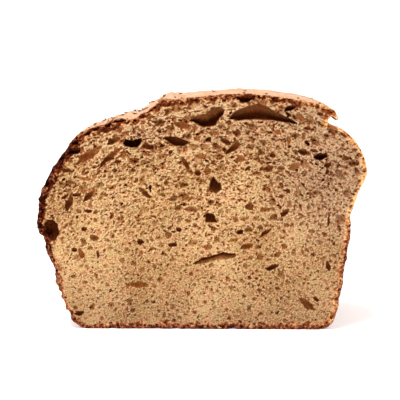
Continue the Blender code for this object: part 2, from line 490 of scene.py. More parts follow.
    def section_place(self, sections: list[np.ndarray], y: np.ndarray) -> tuple[np.ndarray, np.ndarray]:
        """Where the cross-section lies this far along, as the tear gapes and closes and the split wanders.

        Args:
            sections: the cross-section at the cut, where the tear gapes and where it has closed.
            y: how far along the loaf each place is.

        Returns:
            The x and z of each place.
        """
        gapes, closes = smooth_step(*self.tear_widens, y), smooth_step(*self.tear_closes, y)
        torn, gaping, closed = (section.T[:, None, :] for section in sections)
        x, z = (mix(mix(torn[i], gaping[i], gapes), closed[i], closes) for i in (0, 1))
        on_crown = self.crown.share(x, z)
        near_split, in_split = (
            np.exp(-(((x - self.split_middle) / reach) ** 2)) * on_crown
            for reach in (self.split_reach, self.split_floor_reach)
        )
        share = y / self.length
        wander = np.sin(share * math.tau) * self.split_drift
        swell = np.sin(share * math.pi) * self.split_swell * in_split
        rise = np.sin(share * math.pi) * self.crown_rise * on_crown
        return x + near_split * wander, z + swell + rise

    def unevenness(self, places: np.ndarray) -> np.ndarray:
        """How far the crust stands out.

        Args:
            places: rows of x, y, z, with the cut at y = 0.

        Returns:
            One height a row.
        """
        y = places[:, 1]
        swell = noise_at(places, self.swell_length, self.crust_seed) * smooth_step(*self.swell_begins, y)
        lump = noise_at(places, self.lump_length, -self.crust_seed) * smooth_step(*self.lump_begins, y)
        return swell * self.swell + lump * self.lump

    def skin(self, columns: int, stages: np.ndarray) -> np.ndarray:
        """The loaf's skin, with the cut at y = 0.

        Args:
            columns: how many places round the loaf.
            stages: the rings' stages along the loaf.

        Returns:
            An array of rings by columns by x, y, z.
        """
        sections, even = self.sections(columns)
        torn = sections[0]
        high = smooth_step(self.edge_softens_at, self.crown_height, torn[:, 1])
        sharpness = mix(self.base_edge_sharpness, self.crown_edge_sharpness, high)[None, :]
        along, width = self.along_and_inward(stages[:, None], sharpness)
        own_shape = smooth_step(*self.own_shape, width)
        height = mix(self.pole_height, mix(even[:, 1], torn[:, 1], own_shape), width)
        lift = smooth_step(0.0, self.bulge_height, height)
        y = along * (self.length - self.base_setback * (1.0 - lift) - self.end_dish * (1.0 - width**2))
        x, z = self.section_place(sections, y)
        x = mix(even[:, 0], x, own_shape) * width * (1.0 - self.side_taper * y / self.length)
        z = mix(self.pole_height, mix(even[:, 1], z, own_shape), width)
        places = np.stack([x, y, z], axis=-1)
        outwards = np.stack(
            [x * width, self.length / 2.0 * along**sharpness, (z - self.pole_height) * width], axis=-1
        )
        outwards /= np.maximum(TINY, np.linalg.norm(outwards, axis=-1, keepdims=True))
        bump = outwards * self.unevenness(places.reshape(-1, 3)).reshape(y.shape)[..., None]
        bump[..., 2] *= self.off_base.share(x, z)
        places += bump
        places[..., 2] = np.maximum(0.0, places[..., 2] - self.flat_drop * np.minimum(1.0, y))
        return places


# ---- Finishes ----


@dataclass(frozen=True)
class OpenCrumb:
    """Wholegrain sourdough crumb as a knife leaves it: matt, torn cell walls, with a painted highlight on
    their ridges.

    The walls are cream to tan; the cells are painted brown and the deep bubbles nearly black, as painted
    shade that darkens with depth. Bran shows as reddish specks. Towards the crust it turns to the crust's own
    brown.
    """

    wall_light: str = "#C2A379"
    wall_dark: str = "#8A6236"
    # the painted highlight on the ridges: its colour and how strongly it is laid on
    painted_highlight_colour: str = "#DABD98"
    painted_highlight_share: float = 0.55
    tint_warm: str = "#FFEDE0"
    tint_cool: str = "#F6F6E2"
    # the painted shade in the hollows: in shallow cells, in deep bubbles and in caves
    cell: str = "#CD9F7C"
    deep: str = "#8E5B3E"
    cave: str = "#3D1A10"
    dense: str = "#E4E1E6"
    cool: str = "#AC8D75"
    bran: str = "#7A4020"
    crust_inner: str = "#985F3E"
    crust_outer: str = "#612F1C"
    charred: str = "#290F07"
    # amber is the palest crust; on the upper right of the cut it also stands for a painted highlight along
    # the rim
    amber: str = "#D6A772"
    grit: float = 0.5  # the grain of the walls, drawn this coarse because the real one is too fine to show
    clump: float = 1.1  # how large the ragged bits along the crust's inner edge are
    bran_spacing: float = 1.7
    tint_size: float = 4.0
    patch: float = 17.0  # the broad lighter and darker parts that keep the cut from looking flat
    relief: float = 0.5
    roughness: float = 0.88
    shine: float = 0.04

    def material(self) -> bpy.types.Material:
        """Makes the finish.

        Returns:
            A material that reads the crumb's attributes.
        """
        made, shader = new_material("sourdough_crumb_sliced")
        node = partial(add_node, made.node_tree)
        place = node("TexCoord", output="Object")
        hollow_shade, crust, char, painted_highlight_mask, dense, cool = (
            node("Attribute", output="Fac", attribute_name=name)
            for name in ("hollow_shade", "crust", "char", "painted_highlight_mask", "dense", "cool")
        )
        grit, clump, tint, patch = (
            node(
                "TexNoise",
                {"Vector": place, "Scale": per_metre(size), "Detail": detail, "Roughness": rough}, "Fac",
            )
            for size, detail, rough in (
                (self.grit, 3.0, 0.6), (self.clump, 3.0, 0.6),
                (self.tint_size, 2.0, 0.5), (self.patch, 2.0, 0.5),
            )
        )
        bran = node("TexVoronoi", {"Vector": place, "Scale": per_metre(self.bran_spacing)}, "Distance")

        # the walls: grit on broad patches, now warmer and now cooler, with bran in them and a painted
        # highlight on the ridges
        lightness = node("Math", {0: patch, 1: 0.5, 2: grit}, operation="MULTIPLY_ADD")
        walls = node("ValToRGB", {0: lightness}, stops=((0.605, self.wall_dark), (0.895, self.wall_light)))
        tints = node("ValToRGB", {0: tint}, stops=((0.35, self.tint_warm), (0.65, self.tint_cool)))
        walls = node("Mix", {0: 1.0, 6: walls, 7: tints}, 2, **TINT)
        speck = node("ValToRGB", {0: bran}, stops=((0.10, WHITE), (0.22, BLACK)))
        painted_highlight = node("Math", {0: painted_highlight_mask, 1: self.painted_highlight_share}, operation="MULTIPLY")
        for share, colour in ((speck, self.bran), (cool, self.cool), (painted_highlight, self.painted_highlight_colour)):
            walls = node("Mix", {0: share, 6: walls, 7: linear(colour)}, 2, **BLEND)
        density = node("ValToRGB", {0: dense}, stops=((0.0, WHITE), (1.0, self.dense)))
        walls = node("Mix", {0: 1.0, 6: walls, 7: density}, 2, **TINT)

        # towards the rim: amber, brown and charred, with a ragged inner edge
        ragged = node("Math", {0: clump, 1: 1.6, 2: -0.8}, operation="MULTIPLY_ADD")
        edge = node("Math", {0: ragged, 1: 0.5, 2: crust}, operation="MULTIPLY_ADD")
        browning: bpy.types.NodeSocket | float = -0.45
        for source, weight in ((crust, 0.6), (char, 0.8), (ragged, 1.3)):
            browning = node("Math", {0: source, 1: weight, 2: browning}, operation="MULTIPLY_ADD")
        browns = ((0.12, self.amber), (0.46, self.crust_inner), (0.74, self.crust_outer), (1.0, self.charred))
        browned = node("ValToRGB", {0: browning}, stops=browns)
        in_crust = node("ValToRGB", {0: edge}, stops=((0.1, BLACK), (0.4, WHITE)))
        walls = node("Mix", {0: in_crust, 6: walls, 7: browned}, 2, **BLEND)

        # painted shade: the deeper a cell is, the darker it is painted
        floors = ((0.0, WHITE), (0.35, self.cell), (0.72, self.deep), (1.0, self.cave))
        colour = node("Mix", {0: 1.0, 6: walls, 7: node("ValToRGB", {0: hollow_shade}, stops=floors)}, 2, **TINT)
        bump = node("Bump", {"Height": grit, "Strength": 1.0, "Distance": self.relief * MM}, "Normal")
        feed(shader, {"Base Color": colour, "Normal": bump})
        feed(shader, {"Roughness": self.roughness, "Specular IOR Level": self.shine})
        return made


@dataclass(frozen=True)
class BakedCrust:
    """Tin-baked crust: reddish brown where it met the tin, darker on its shoulders, floured on the crown."""

    flour: str = "#C0997A"
    flour_shade: str = "#A4704B"
    brown: str = "#84491F"
    dark: str = "#41190A"
    amber: str = "#C08250"
    # painted shade in the crust's small pits: its colour, and how much of it lies at a pit's edge
    pit_shade: str = "#5E3018"
    pit_shade_share: str = "#A0A0A0"
    fleck: str = "#3A1A0C"
    blister: float = 5.0
    broad: float = 24.0
    grain: float = 0.9  # the grains of flour, drawn this coarse because real ones are too fine to show
    pit_spacing: float = 2.6
    fleck_spacing: float = 4.2
    relief: float = 0.4
    relief_strength: float = 0.9
    roughness: float = 0.72
    shine: float = 0.3

    def material(self) -> bpy.types.Material:
        """Makes the finish.

        Returns:
            A material that reads the crust's attributes.
        """
        made, shader = new_material("crust_tin_baked_and_floured")
        node = partial(add_node, made.node_tree)
        place = node("TexCoord", output="Object")
        flour, char = (node("Attribute", output="Fac", attribute_name=name) for name in ("flour", "char"))
        blotch, grain, broad = (
            node(
                "TexNoise",
                {"Vector": place, "Scale": per_metre(size), "Detail": detail, "Roughness": rough}, "Fac",
            )
            for size, detail, rough in (
                (self.blister, 5.0, 0.65), (self.grain, 3.0, 0.5), (self.broad, 2.0, 0.5)
            )
        )
        pits, flecks = (
            node("TexVoronoi", {"Vector": place, "Scale": per_metre(size)}, "Distance")
            for size in (self.pit_spacing, self.fleck_spacing)
        )
        # painted shade in the pits, which the bump also sinks
        sunk = node("ValToRGB", {0: pits}, stops=((0.12, self.pit_shade_share), (0.26, BLACK)))
        totals = []
        for total, terms in (
            (-1.0, ((char, 1.0), (blotch, 0.7), (broad, 0.8), (grain, 0.5))),  # how dark it baked
            (-0.75, ((flour, 1.0), (blotch, 0.8), (grain, 0.7))),  # how well flour covers it
            (0.0, ((blotch, 0.6), (grain, 0.4))),  # how white the flour is
            (flecks, ((blotch, 0.5),)),  # where specks stuck to it, so that they aren't in rows
            (grain, ((blotch, 0.8), (sunk, -0.5))),  # how high it stands
        ):
            for source, weight in terms:
                total = node("Math", {0: source, 1: weight, 2: total}, operation="MULTIPLY_ADD")
            totals.append(total)
        baked, dust, drift, stuck, height = totals
        colour = node("ValToRGB", {0: baked}, stops=((0.0, self.amber), (0.4, self.brown), (0.95, self.dark)))
        powder = node("ValToRGB", {0: drift}, stops=((0.38, self.flour_shade), (0.56, self.flour)))
        speck = node("ValToRGB", {0: stuck}, stops=((0.27, WHITE), (0.34, BLACK)))
        covered = node("ValToRGB", {0: dust}, stops=((0.3, BLACK), (0.72, WHITE)))
        for share, over in ((sunk, linear(self.pit_shade)), (speck, linear(self.fleck)), (covered, powder)):
            colour = node("Mix", {0: share, 6: colour, 7: over}, 2, **BLEND)
        relief = {"Height": height, "Strength": self.relief_strength, "Distance": self.relief * MM}
        feed(shader, {"Base Color": colour, "Normal": node("Bump", relief, "Normal")})
        feed(shader, {"Roughness": self.roughness, "Specular IOR Level": self.shine})
        return made


@dataclass(frozen=True)
class ToastedBran:
    """Bran scorched in the oven: thin reddish brown scales with a slight sheen, some nearly black."""

    light: str = "#9A6238"
    dark: str = "#3B1A0C"
    streak: float = 1.6
    relief: float = 0.05
    relief_strength: float = 0.5
    roughness: float = 0.6

    def material(self) -> bpy.types.Material:
        """Makes the finish.

        Returns:
            The material.
        """
        made, shader = new_material("bran_toasted")
        node = partial(add_node, made.node_tree)
        place = node("TexCoord", output="Object")
        streak = node("TexNoise", {"Vector": place, "Scale": per_metre(self.streak), "Detail": 3.0}, "Fac")
        colour = node("ValToRGB", {0: streak}, stops=((0.38, self.dark), (0.62, self.light)))
        relief = {"Height": streak, "Strength": self.relief_strength, "Distance": self.relief * MM}
        bump = node("Bump", relief, "Normal")
        feed(shader, {"Base Color": colour, "Normal": bump, "Roughness": self.roughness})
        return made


# ---- The crust ----


@dataclass
class Crust:
    """The baked skin: a sheet rolled round the loaf's form, closed at the end wall, with its own relief."""

    form: LoafForm
    finish: BakedCrust = BakedCrust()
    columns: int = 620
    wall_rings: int = 112
    end_rings: int = 44
    crowding: float = 1.2  # how much closer the rings stand near the cut
    weld: float = 0.002
    blisters: Span = (5.0, 2.0)  # how far apart and how high
    grit: Span = (1.9, 1.8)
    off_base: Zone = Zone(z=(0.3, 5.0))  # where the relief may lift the crust off the tin's flat floor
    left_side: Zone = Zone(x=(20.0, -40.0))
    upper_part: Zone = Zone(z=(40.0, 60.0))
    right_relief: float = 0.45  # the right side's share of the left side's relief
    upper_relief: float = 0.6
    dent: float = 0.9
    dent_size: float = 3.5
    dent_height: float = 2.0  # below this the crust counts as the base
    dents_fade: Span = (16.0, 4.0)  # how far behind the cut they end
    floured: Zone = Zone(x=(54.0, 48.0), z=(66.0, 76.0))
    lip_top: Zone = Zone(z=(79.5, 81.0))
    lip_side: Zone = Zone(x=(34.0, 46.0))
    thin_flour: Zone = Zone(x=(0.0, 40.0))
    thinner: float = 0.25
    wiped: Span = (-14.0, 9.0)  # where less flour lies beside the split, and how far round
    wiped_off: float = 0.3
    lip_tilt: float = 0.4  # the lip holds flour as if it faced up by this much more
    holds_flour: Span = (0.35, 0.8)  # how far up a face has to point for flour to stay
    browning: float = 0.36
    shoulder_browning: float = 0.3
    bulge_browning: float = 0.16
    paleness: float = 0.4  # how much paler the right bulge is near the cut: partly less browning, partly a painted highlight along the lit rim
    below_crown: Zone = Zone(z=(84.0, 68.0))
    above_tin: Zone = Zone(z=(36.0, 46.0))
    right_bulge: Zone = Zone(x=(40.0, 54.0), z=(36.0, 52.0))
    pale_fades: Span = (16.0, 0.0)  # how far behind the cut
    rim: np.ndarray = field(init=False)

    def build(self) -> bpy.types.Object:
        """Rolls the sheet, roughens it and dresses it.

        Returns:
            The finished crust.
        """
        crust = add_grid("crust", self.columns, self.wall_rings + self.end_rings)
        steps = np.arange(self.wall_rings) / self.wall_rings
        stages = np.concatenate([0.5 * steps**self.crowding, np.linspace(0.5, 1.0, self.end_rings + 1)])
        skin = self.form.skin(self.columns, stages)
        skin = np.concatenate([skin, skin[:, :1]], axis=1)
        ring, column = np.meshgrid(stages, np.arange(self.columns + 1), indexing="ij")
        across = skin[:-1, :, 0]
        shift = np.array([-(across.min() + across.max()) / 2.0, 0.0, 0.0])
        skin = (skin + shift) * [1.0, self.form.length / skin[..., 1].max(), 1.0]
        skin[..., 1] -= self.form.length / 2.0
        move_to(crust, skin.reshape(-1, 3))
        give_attribute(crust, "ring", ring)
        give_attribute(crust, "column", column)
        self.close(crust)
        self.roughen(crust)
        self.flatten_rim(crust)
        self.dress(crust)
        return crust

    def close(self, crust: bpy.types.Object) -> None:
        """Joins the sheet's two sides and closes it at the middle of the end wall.

        Args:
            crust: the sheet.
        """
        pick(crust)
        bpy.ops.object.mode_set(mode="EDIT")
        bpy.ops.mesh.select_all(action="SELECT")
        bpy.ops.mesh.remove_doubles(threshold=self.weld * MM)
        bpy.ops.mesh.normals_make_consistent(inside=False)
        bpy.ops.object.mode_set(mode="OBJECT")

    def roughen(self, crust: bpy.types.Object) -> None:
        """Raises blisters and grit, most on the left and none on the base that the tin kept flat.

        Args:
            crust: the closed sheet.
        """
        x, _, z = places_of(crust).T
        roughness = mix(self.right_relief, 1.0, self.left_side.share(x, z))
        roughness = roughness * mix(1.0, self.upper_relief, self.upper_part.share(x, z))
        weigh(crust, "free", self.off_base.share(x, z) * roughness)
        for name, (size, height) in (("blisters", self.blisters), ("grit", self.grit)):
            texture = bpy.data.textures.new(name, "CLOUDS")
            texture.noise_scale = size * MM
            apply_modifier(
                crust, name, "DISPLACE", texture=texture, texture_coords="LOCAL", strength=height * MM,
                mid_level=0.5, vertex_group="free",
            )

    def flatten_rim(self, crust: bpy.types.Object) -> None:
        """Dents the edge of the base, and presses the cut's edge into its plane for the crumb to meet.

        Args:
            crust: the roughened crust.
        """
        rings, columns = (
            read_all(crust.data.attributes[name].data, "value", 1)[:, 0] for name in ("ring", "column")
        )
        edge = np.flatnonzero(rings == 0.0)
        edge = edge[np.argsort(columns[edge])]
        places = places_of(crust)
        front = -self.form.length / 2.0
        low = np.flatnonzero((places[:, 2] < self.dent_height) & (places[:, 1] < front + self.dents_fade[0]))
        dents = np.clip(noise_at(places[low], self.dent_size, self.form.crust_seed), 0.0, 1.0)
        places[low, 2] += self.dent * dents * smooth_step(*self.dents_fade, places[low, 1] - front)
        places[edge, 1] = front
        move_to(crust, places)
        self.rim = places[edge][:, [0, 2]]

    def dress(self, crust: bpy.types.Object) -> None:
        """Works out where flour lies and where the oven browned most, and gives the crust its finish.

        Args:
            crust: the crust in its final form.
        """
        x, y, z = places_of(crust).T
        up = read_all(crust.data.vertices, "normal", 3)[:, 2] + self.lip_tilt * self.lip_side.share(x, z)
        lies = np.maximum(self.floured.share(x, z), self.lip_top.share(x, z))
        middle, reach = self.wiped
        beside_split = np.exp(-(((x - middle) / reach) ** 2))
        lies *= 1.0 - self.thinner * self.thin_flour.share(x, z) - self.wiped_off * beside_split
        give_attribute(crust, "flour", smooth_step(*self.holds_flour, up) * lies)
        shoulder = self.upper_part.share(x, z) * self.left_side.share(x, z) * self.below_crown.share(x, z)
        # paler on the right bulge near the cut, partly as a painted highlight along the lit rim
        pale = self.right_bulge.share(x, z) * smooth_step(*self.pale_fades, y + self.form.length / 2.0)
        browned = self.browning + self.shoulder_browning * shoulder - self.paleness * pale
        give_attribute(crust, "char", browned + self.bulge_browning * self.above_tin.share(x, z))
        shade(crust, self.finish.material())


# ---- The crumb ----


class Hollow(Enum):
    """How an opened bubble looks: its depth as a share of its half width, and how dark the painted shade on
    its floor is.
    """

    SHALLOW = (0.8, 0.40)
    MIDDLE = (1.1, 0.64)
    DEEP = (1.5, 0.82)
    CAVE = (2.2, 1.0)

    @property
    def depth(self) -> float:
        """Its depth as a share of its half width."""
        return self.value[0]

    @property
    def tone(self) -> float:
        """How dark the painted shade on its floor is, from 0 to 1."""
        return self.value[1]


@dataclass(frozen=True)
class Bubble:
    """A gas bubble that the knife opened, in millimetres on the cut, tilted in degrees."""

    x: float
    z: float
    half_length: float
    half_width: float
    tilt: float
    kind: Hollow


@dataclass(frozen=True)
class Cavity:
    """A large opening with a form of its own: its depth, its two tones and its outline on the cut.

    The tones say how dark its painted shade is at its foot and at its head, as light and shade fall in it.
    """

    depth: float
    foot: float
    head: float
    outline: tuple[Span, ...]


@dataclass(frozen=True)
class PoreSize:
    """One size of the crumb's small pores, in millimetres.

    Cover says how thickly they are strewn, tone how dark their painted shade is, and rises how much rarer
    they are at the base than at the crown. Wall is the crumb that stays between two, and where it is 0 they
    may run together and lie inside larger ones.
    """

    radius: float
    cover: float
    tone: float
    rises: float
    wall: float


CAVITIES = (
    # the two long ones under the crown
    Cavity(6.0, 0.82, 0.42, (
        (10.4, 80.3), (12.7, 82.9), (17.5, 84.8), (21.8, 86.0), (26.5, 83.4), (34.1, 79.8), (35.9, 78.4),
        (27.0, 79.6), (20.3, 80.0), (14.2, 79.8),
    )),
    Cavity(5.0, 0.95, 0.42, (
        (-4.4, 79.6), (-1.5, 81.5), (1.8, 81.9), (3.9, 84.1), (6.6, 84.6), (8.5, 83.6), (8.0, 81.7),
        (5.8, 79.3), (5.1, 77.7), (0.9, 77.2), (-2.0, 78.4),
    )),
    # the row across the left shoulder
    Cavity(5.0, 0.95, 1.0, (
        (-30.0, 70.8), (-29.1, 72.2), (-26.7, 71.7), (-22.9, 72.7), (-23.4, 70.8), (-24.8, 69.4),
        (-29.1, 69.6),
    )),
    Cavity(4.0, 0.85, 0.75, (
        (-14.6, 73.0), (-12.0, 73.5), (-8.6, 73.0), (-4.8, 71.1), (-6.7, 69.9), (-9.7, 69.9), (-12.0, 71.1),
    )),
    # against the left crust
    Cavity(4.0, 0.86, 0.78, (
        (-60.0, 40.0), (-58.7, 41.4), (-56.8, 41.4), (-55.3, 39.9), (-54.5, 36.5), (-55.7, 33.8),
        (-57.6, 33.4), (-59.3, 36.1),
    )),
    # the middle
    Cavity(3.5, 0.8, 0.86, (
        (4.4, 57.9), (6.1, 55.8), (7.3, 55.6), (7.3, 53.4), (5.6, 51.8), (4.0, 52.7), (3.0, 54.4),
        (3.5, 56.5),
    )),
    Cavity(3.0, 0.78, 0.9, ((1.8, 43.9), (3.2, 44.2), (5.1, 43.0), (5.4, 40.9), (1.8, 40.9))),
    # the long slit low down
    Cavity(1.8, 0.30, 0.95, (
        (-3.0, 24.9), (-0.1, 26.9), (5.1, 28.4), (8.0, 29.2), (10.8, 28.8), (12.7, 29.0), (13.1, 28.3),
        (12.2, 27.3), (9.4, 26.8), (5.6, 26.5), (2.3, 25.4), (-1.0, 25.0),
    )),
)

SHALLOW, MIDDLE, DEEP, CAVE = Hollow
BUBBLES = tuple(Bubble(*row) for row in (
    # under the crown
    (16.5, 87.9, 3.1, 1.35, 3.0, CAVE), (33.6, 84.4, 2.3, 1.0, 25.0, CAVE),
    (45.0, 82.2, 1.3, 0.7, 0.0, DEEP), (-7.3, 77.8, 3.5, 1.3, -8.0, MIDDLE),
    (4.7, 74.9, 2.4, 0.7, 0.0, SHALLOW), (37.4, 81.0, 2.0, 1.1, -35.0, SHALLOW),
    # the left shoulder
    (-20.7, 69.7, 2.1, 1.1, -8.0, DEEP),
    (-33.6, 71.8, 2.5, 1.2, 25.0, DEEP), (-48.3, 67.8, 2.4, 1.4, 12.0, CAVE),
    (-48.0, 71.1, 1.3, 0.95, 20.0, CAVE), (-42.8, 66.5, 5.8, 1.5, 33.0, MIDDLE),
    (-34.9, 65.5, 5.4, 1.0, 42.0, DEEP), (-36.9, 75.9, 1.9, 1.2, -35.0, DEEP),
    # just under the crust, from the shoulder up to the crown
    (-45.8, 73.3, 1.3, 0.6, 38.0, DEEP), (-43.2, 74.8, 1.6, 0.7, 28.0, CAVE),
    (-40.2, 76.3, 1.4, 0.7, 20.0, CAVE), (-35.6, 77.8, 1.3, 0.8, 20.0, CAVE),
    (-31.3, 79.3, 2.2, 0.6, 5.0, CAVE), (-22.4, 81.1, 1.3, 0.8, 10.0, DEEP),
    (-20.5, 82.9, 1.0, 0.6, 40.0, DEEP), (-18.3, 84.9, 1.1, 0.7, 30.0, CAVE),
    (-13.0, 85.6, 1.8, 0.9, 0.0, DEEP), (-27.9, 78.9, 0.9, 0.5, 50.0, CAVE),
    # the middle
    (11.9, 69.2, 3.5, 1.2, 35.0, DEEP),
    (9.1, 71.7, 2.1, 1.0, -25.0, DEEP), (-6.3, 63.3, 2.8, 0.9, -60.0, DEEP),
    (-21.6, 52.1, 3.1, 0.8, -45.0, DEEP), (18.0, 47.1, 1.8, 1.4, 0.0, MIDDLE),
    (24.3, 37.0, 2.6, 0.7, 38.0, DEEP), (2.2, 31.4, 1.9, 1.1, 0.0, SHALLOW),
    (17.4, 31.8, 2.6, 1.1, 20.0, MIDDLE), (12.2, 34.2, 1.9, 0.7, 8.0, SHALLOW),
    (5.7, 34.4, 1.0, 1.2, 0.0, SHALLOW), (-19.4, 53.7, 0.5, 1.7, 0.0, DEEP),
    (14.7, 64.9, 1.8, 1.5, 0.0, SHALLOW), (17.5, 61.6, 1.3, 0.6, 30.0, DEEP),
    (25.6, 61.4, 1.9, 1.3, 10.0, MIDDLE), (26.9, 66.4, 1.0, 0.8, 0.0, DEEP),
    (-1.4, 59.7, 1.2, 1.0, 0.0, DEEP), (0.1, 66.0, 2.0, 0.9, 0.0, SHALLOW),
    (2.3, 60.3, 1.4, 1.3, 0.0, SHALLOW), (-1.7, 72.8, 1.5, 1.2, 30.0, SHALLOW),
    (28.9, 75.4, 1.1, 0.8, -20.0, SHALLOW), (33.0, 72.3, 1.5, 0.9, 100.0, SHALLOW),
    # the right side
    (45.4, 66.0, 2.4, 1.4, 15.0, CAVE), (47.8, 62.7, 1.5, 1.0, 30.0, DEEP),
    (38.3, 67.8, 1.8, 1.2, -10.0, DEEP), (35.1, 62.1, 2.1, 1.3, 30.0, SHALLOW),
    (31.9, 44.7, 2.3, 1.0, 50.0, DEEP), (48.3, 42.2, 3.1, 0.5, 80.0, DEEP),
    (48.1, 24.3, 2.1, 0.8, 110.0, DEEP), (40.2, 76.9, 1.2, 0.6, 0.0, DEEP),
    # low down
    (26.8, 23.8, 2.4, 1.0, 20.0, DEEP), (28.8, 28.7, 1.5, 1.1, 10.0, SHALLOW),
    (39.9, 9.9, 3.6, 1.2, -38.0, MIDDLE), (43.6, 11.6, 1.2, 0.7, -40.0, DEEP),
    (-23.6, 16.9, 3.6, 1.1, 0.0, SHALLOW), (-23.4, 33.3, 1.4, 1.1, -45.0, DEEP),
    (-10.8, 32.2, 1.5, 0.8, 10.0, DEEP), (-8.6, 38.0, 1.0, 1.0, 0.0, DEEP),
    (-46.7, 5.7, 1.7, 1.0, 10.0, DEEP), (40.7, 2.7, 1.3, 0.7, 0.0, SHALLOW),
    # the left side
    (-50.5, 48.0, 3.0, 1.2, 70.0, DEEP), (-47.7, 51.3, 1.7, 0.7, 8.0, DEEP),
    (-42.9, 50.9, 3.0, 1.0, 45.0, DEEP), (-51.6, 60.4, 2.2, 0.8, 5.0, DEEP),
    (-44.8, 57.4, 3.4, 0.7, -8.0, SHALLOW), (-43.2, 45.2, 1.3, 0.8, 0.0, DEEP),
    (-44.8, 38.2, 1.0, 0.9, 0.0, DEEP), (-40.9, 34.9, 1.7, 1.1, -20.0, MIDDLE),
    (-48.6, 30.2, 1.1, 0.9, 0.0, DEEP), (-45.9, 28.7, 2.1, 0.9, 110.0, MIDDLE),
    (-39.6, 28.7, 1.4, 0.6, 90.0, DEEP),
))


@dataclass(frozen=True)
class CutZones:
    """The parts of the cut that differ in their crust, their pores or their colour."""

    upper_left: Zone = Zone(x=(-10.0, -46.0), z=(18.0, 38.0))
    shoulder: Zone = Zone(z=(66.0, 76.0))
    left_wall: Zone = Zone(x=(-30.0, -48.0))
    left_foot: Zone = Zone(z=(18.0, 10.0))
    top: Zone = Zone(z=(70.0, 80.0))
    lip: Zone = Zone(x=(34.0, 44.0))
    below_lip: Zone = Zone(x=(45.0, 49.0), z=(80.5, 78.5))
    upper_right: Zone = Zone(x=(30.0, 50.0), z=(39.0, 46.0))
    right_wall: Zone = Zone(x=(40.0, 50.0), z=(45.0, 39.0))
    right_foot: Zone = Zone(x=(34.0, 44.0), z=(1.0, 4.0))
    base: Zone = Zone(z=(16.0, 4.0))
    # where pores line the crust and where they don't
    lined_left: Zone = Zone(x=(-10.0, -40.0), z=(20.0, 40.0))
    lined_top: Zone = Zone(z=(68.0, 80.0))
    unlined: Zone = Zone(x=(40.0, 50.0), z=(38.0, 46.0))
    # where the crumb is closer or greyer, and where the painted shade in its pores is paler
    high: Zone = Zone(z=(8.0, 75.0))
    paler: Zone = Zone(x=(20.0, 50.0), z=(30.0, 60.0))
    low: Zone = Zone(z=(34.0, 2.0))
    right: Zone = Zone(x=(20.0, 50.0))
    above_low: Zone = Zone(z=(30.0, 55.0))
    cool_right: Zone = Zone(x=(10.0, 50.0), z=(20.0, 50.0))
    cool_top: Zone = Zone(z=(60.0, 76.0))


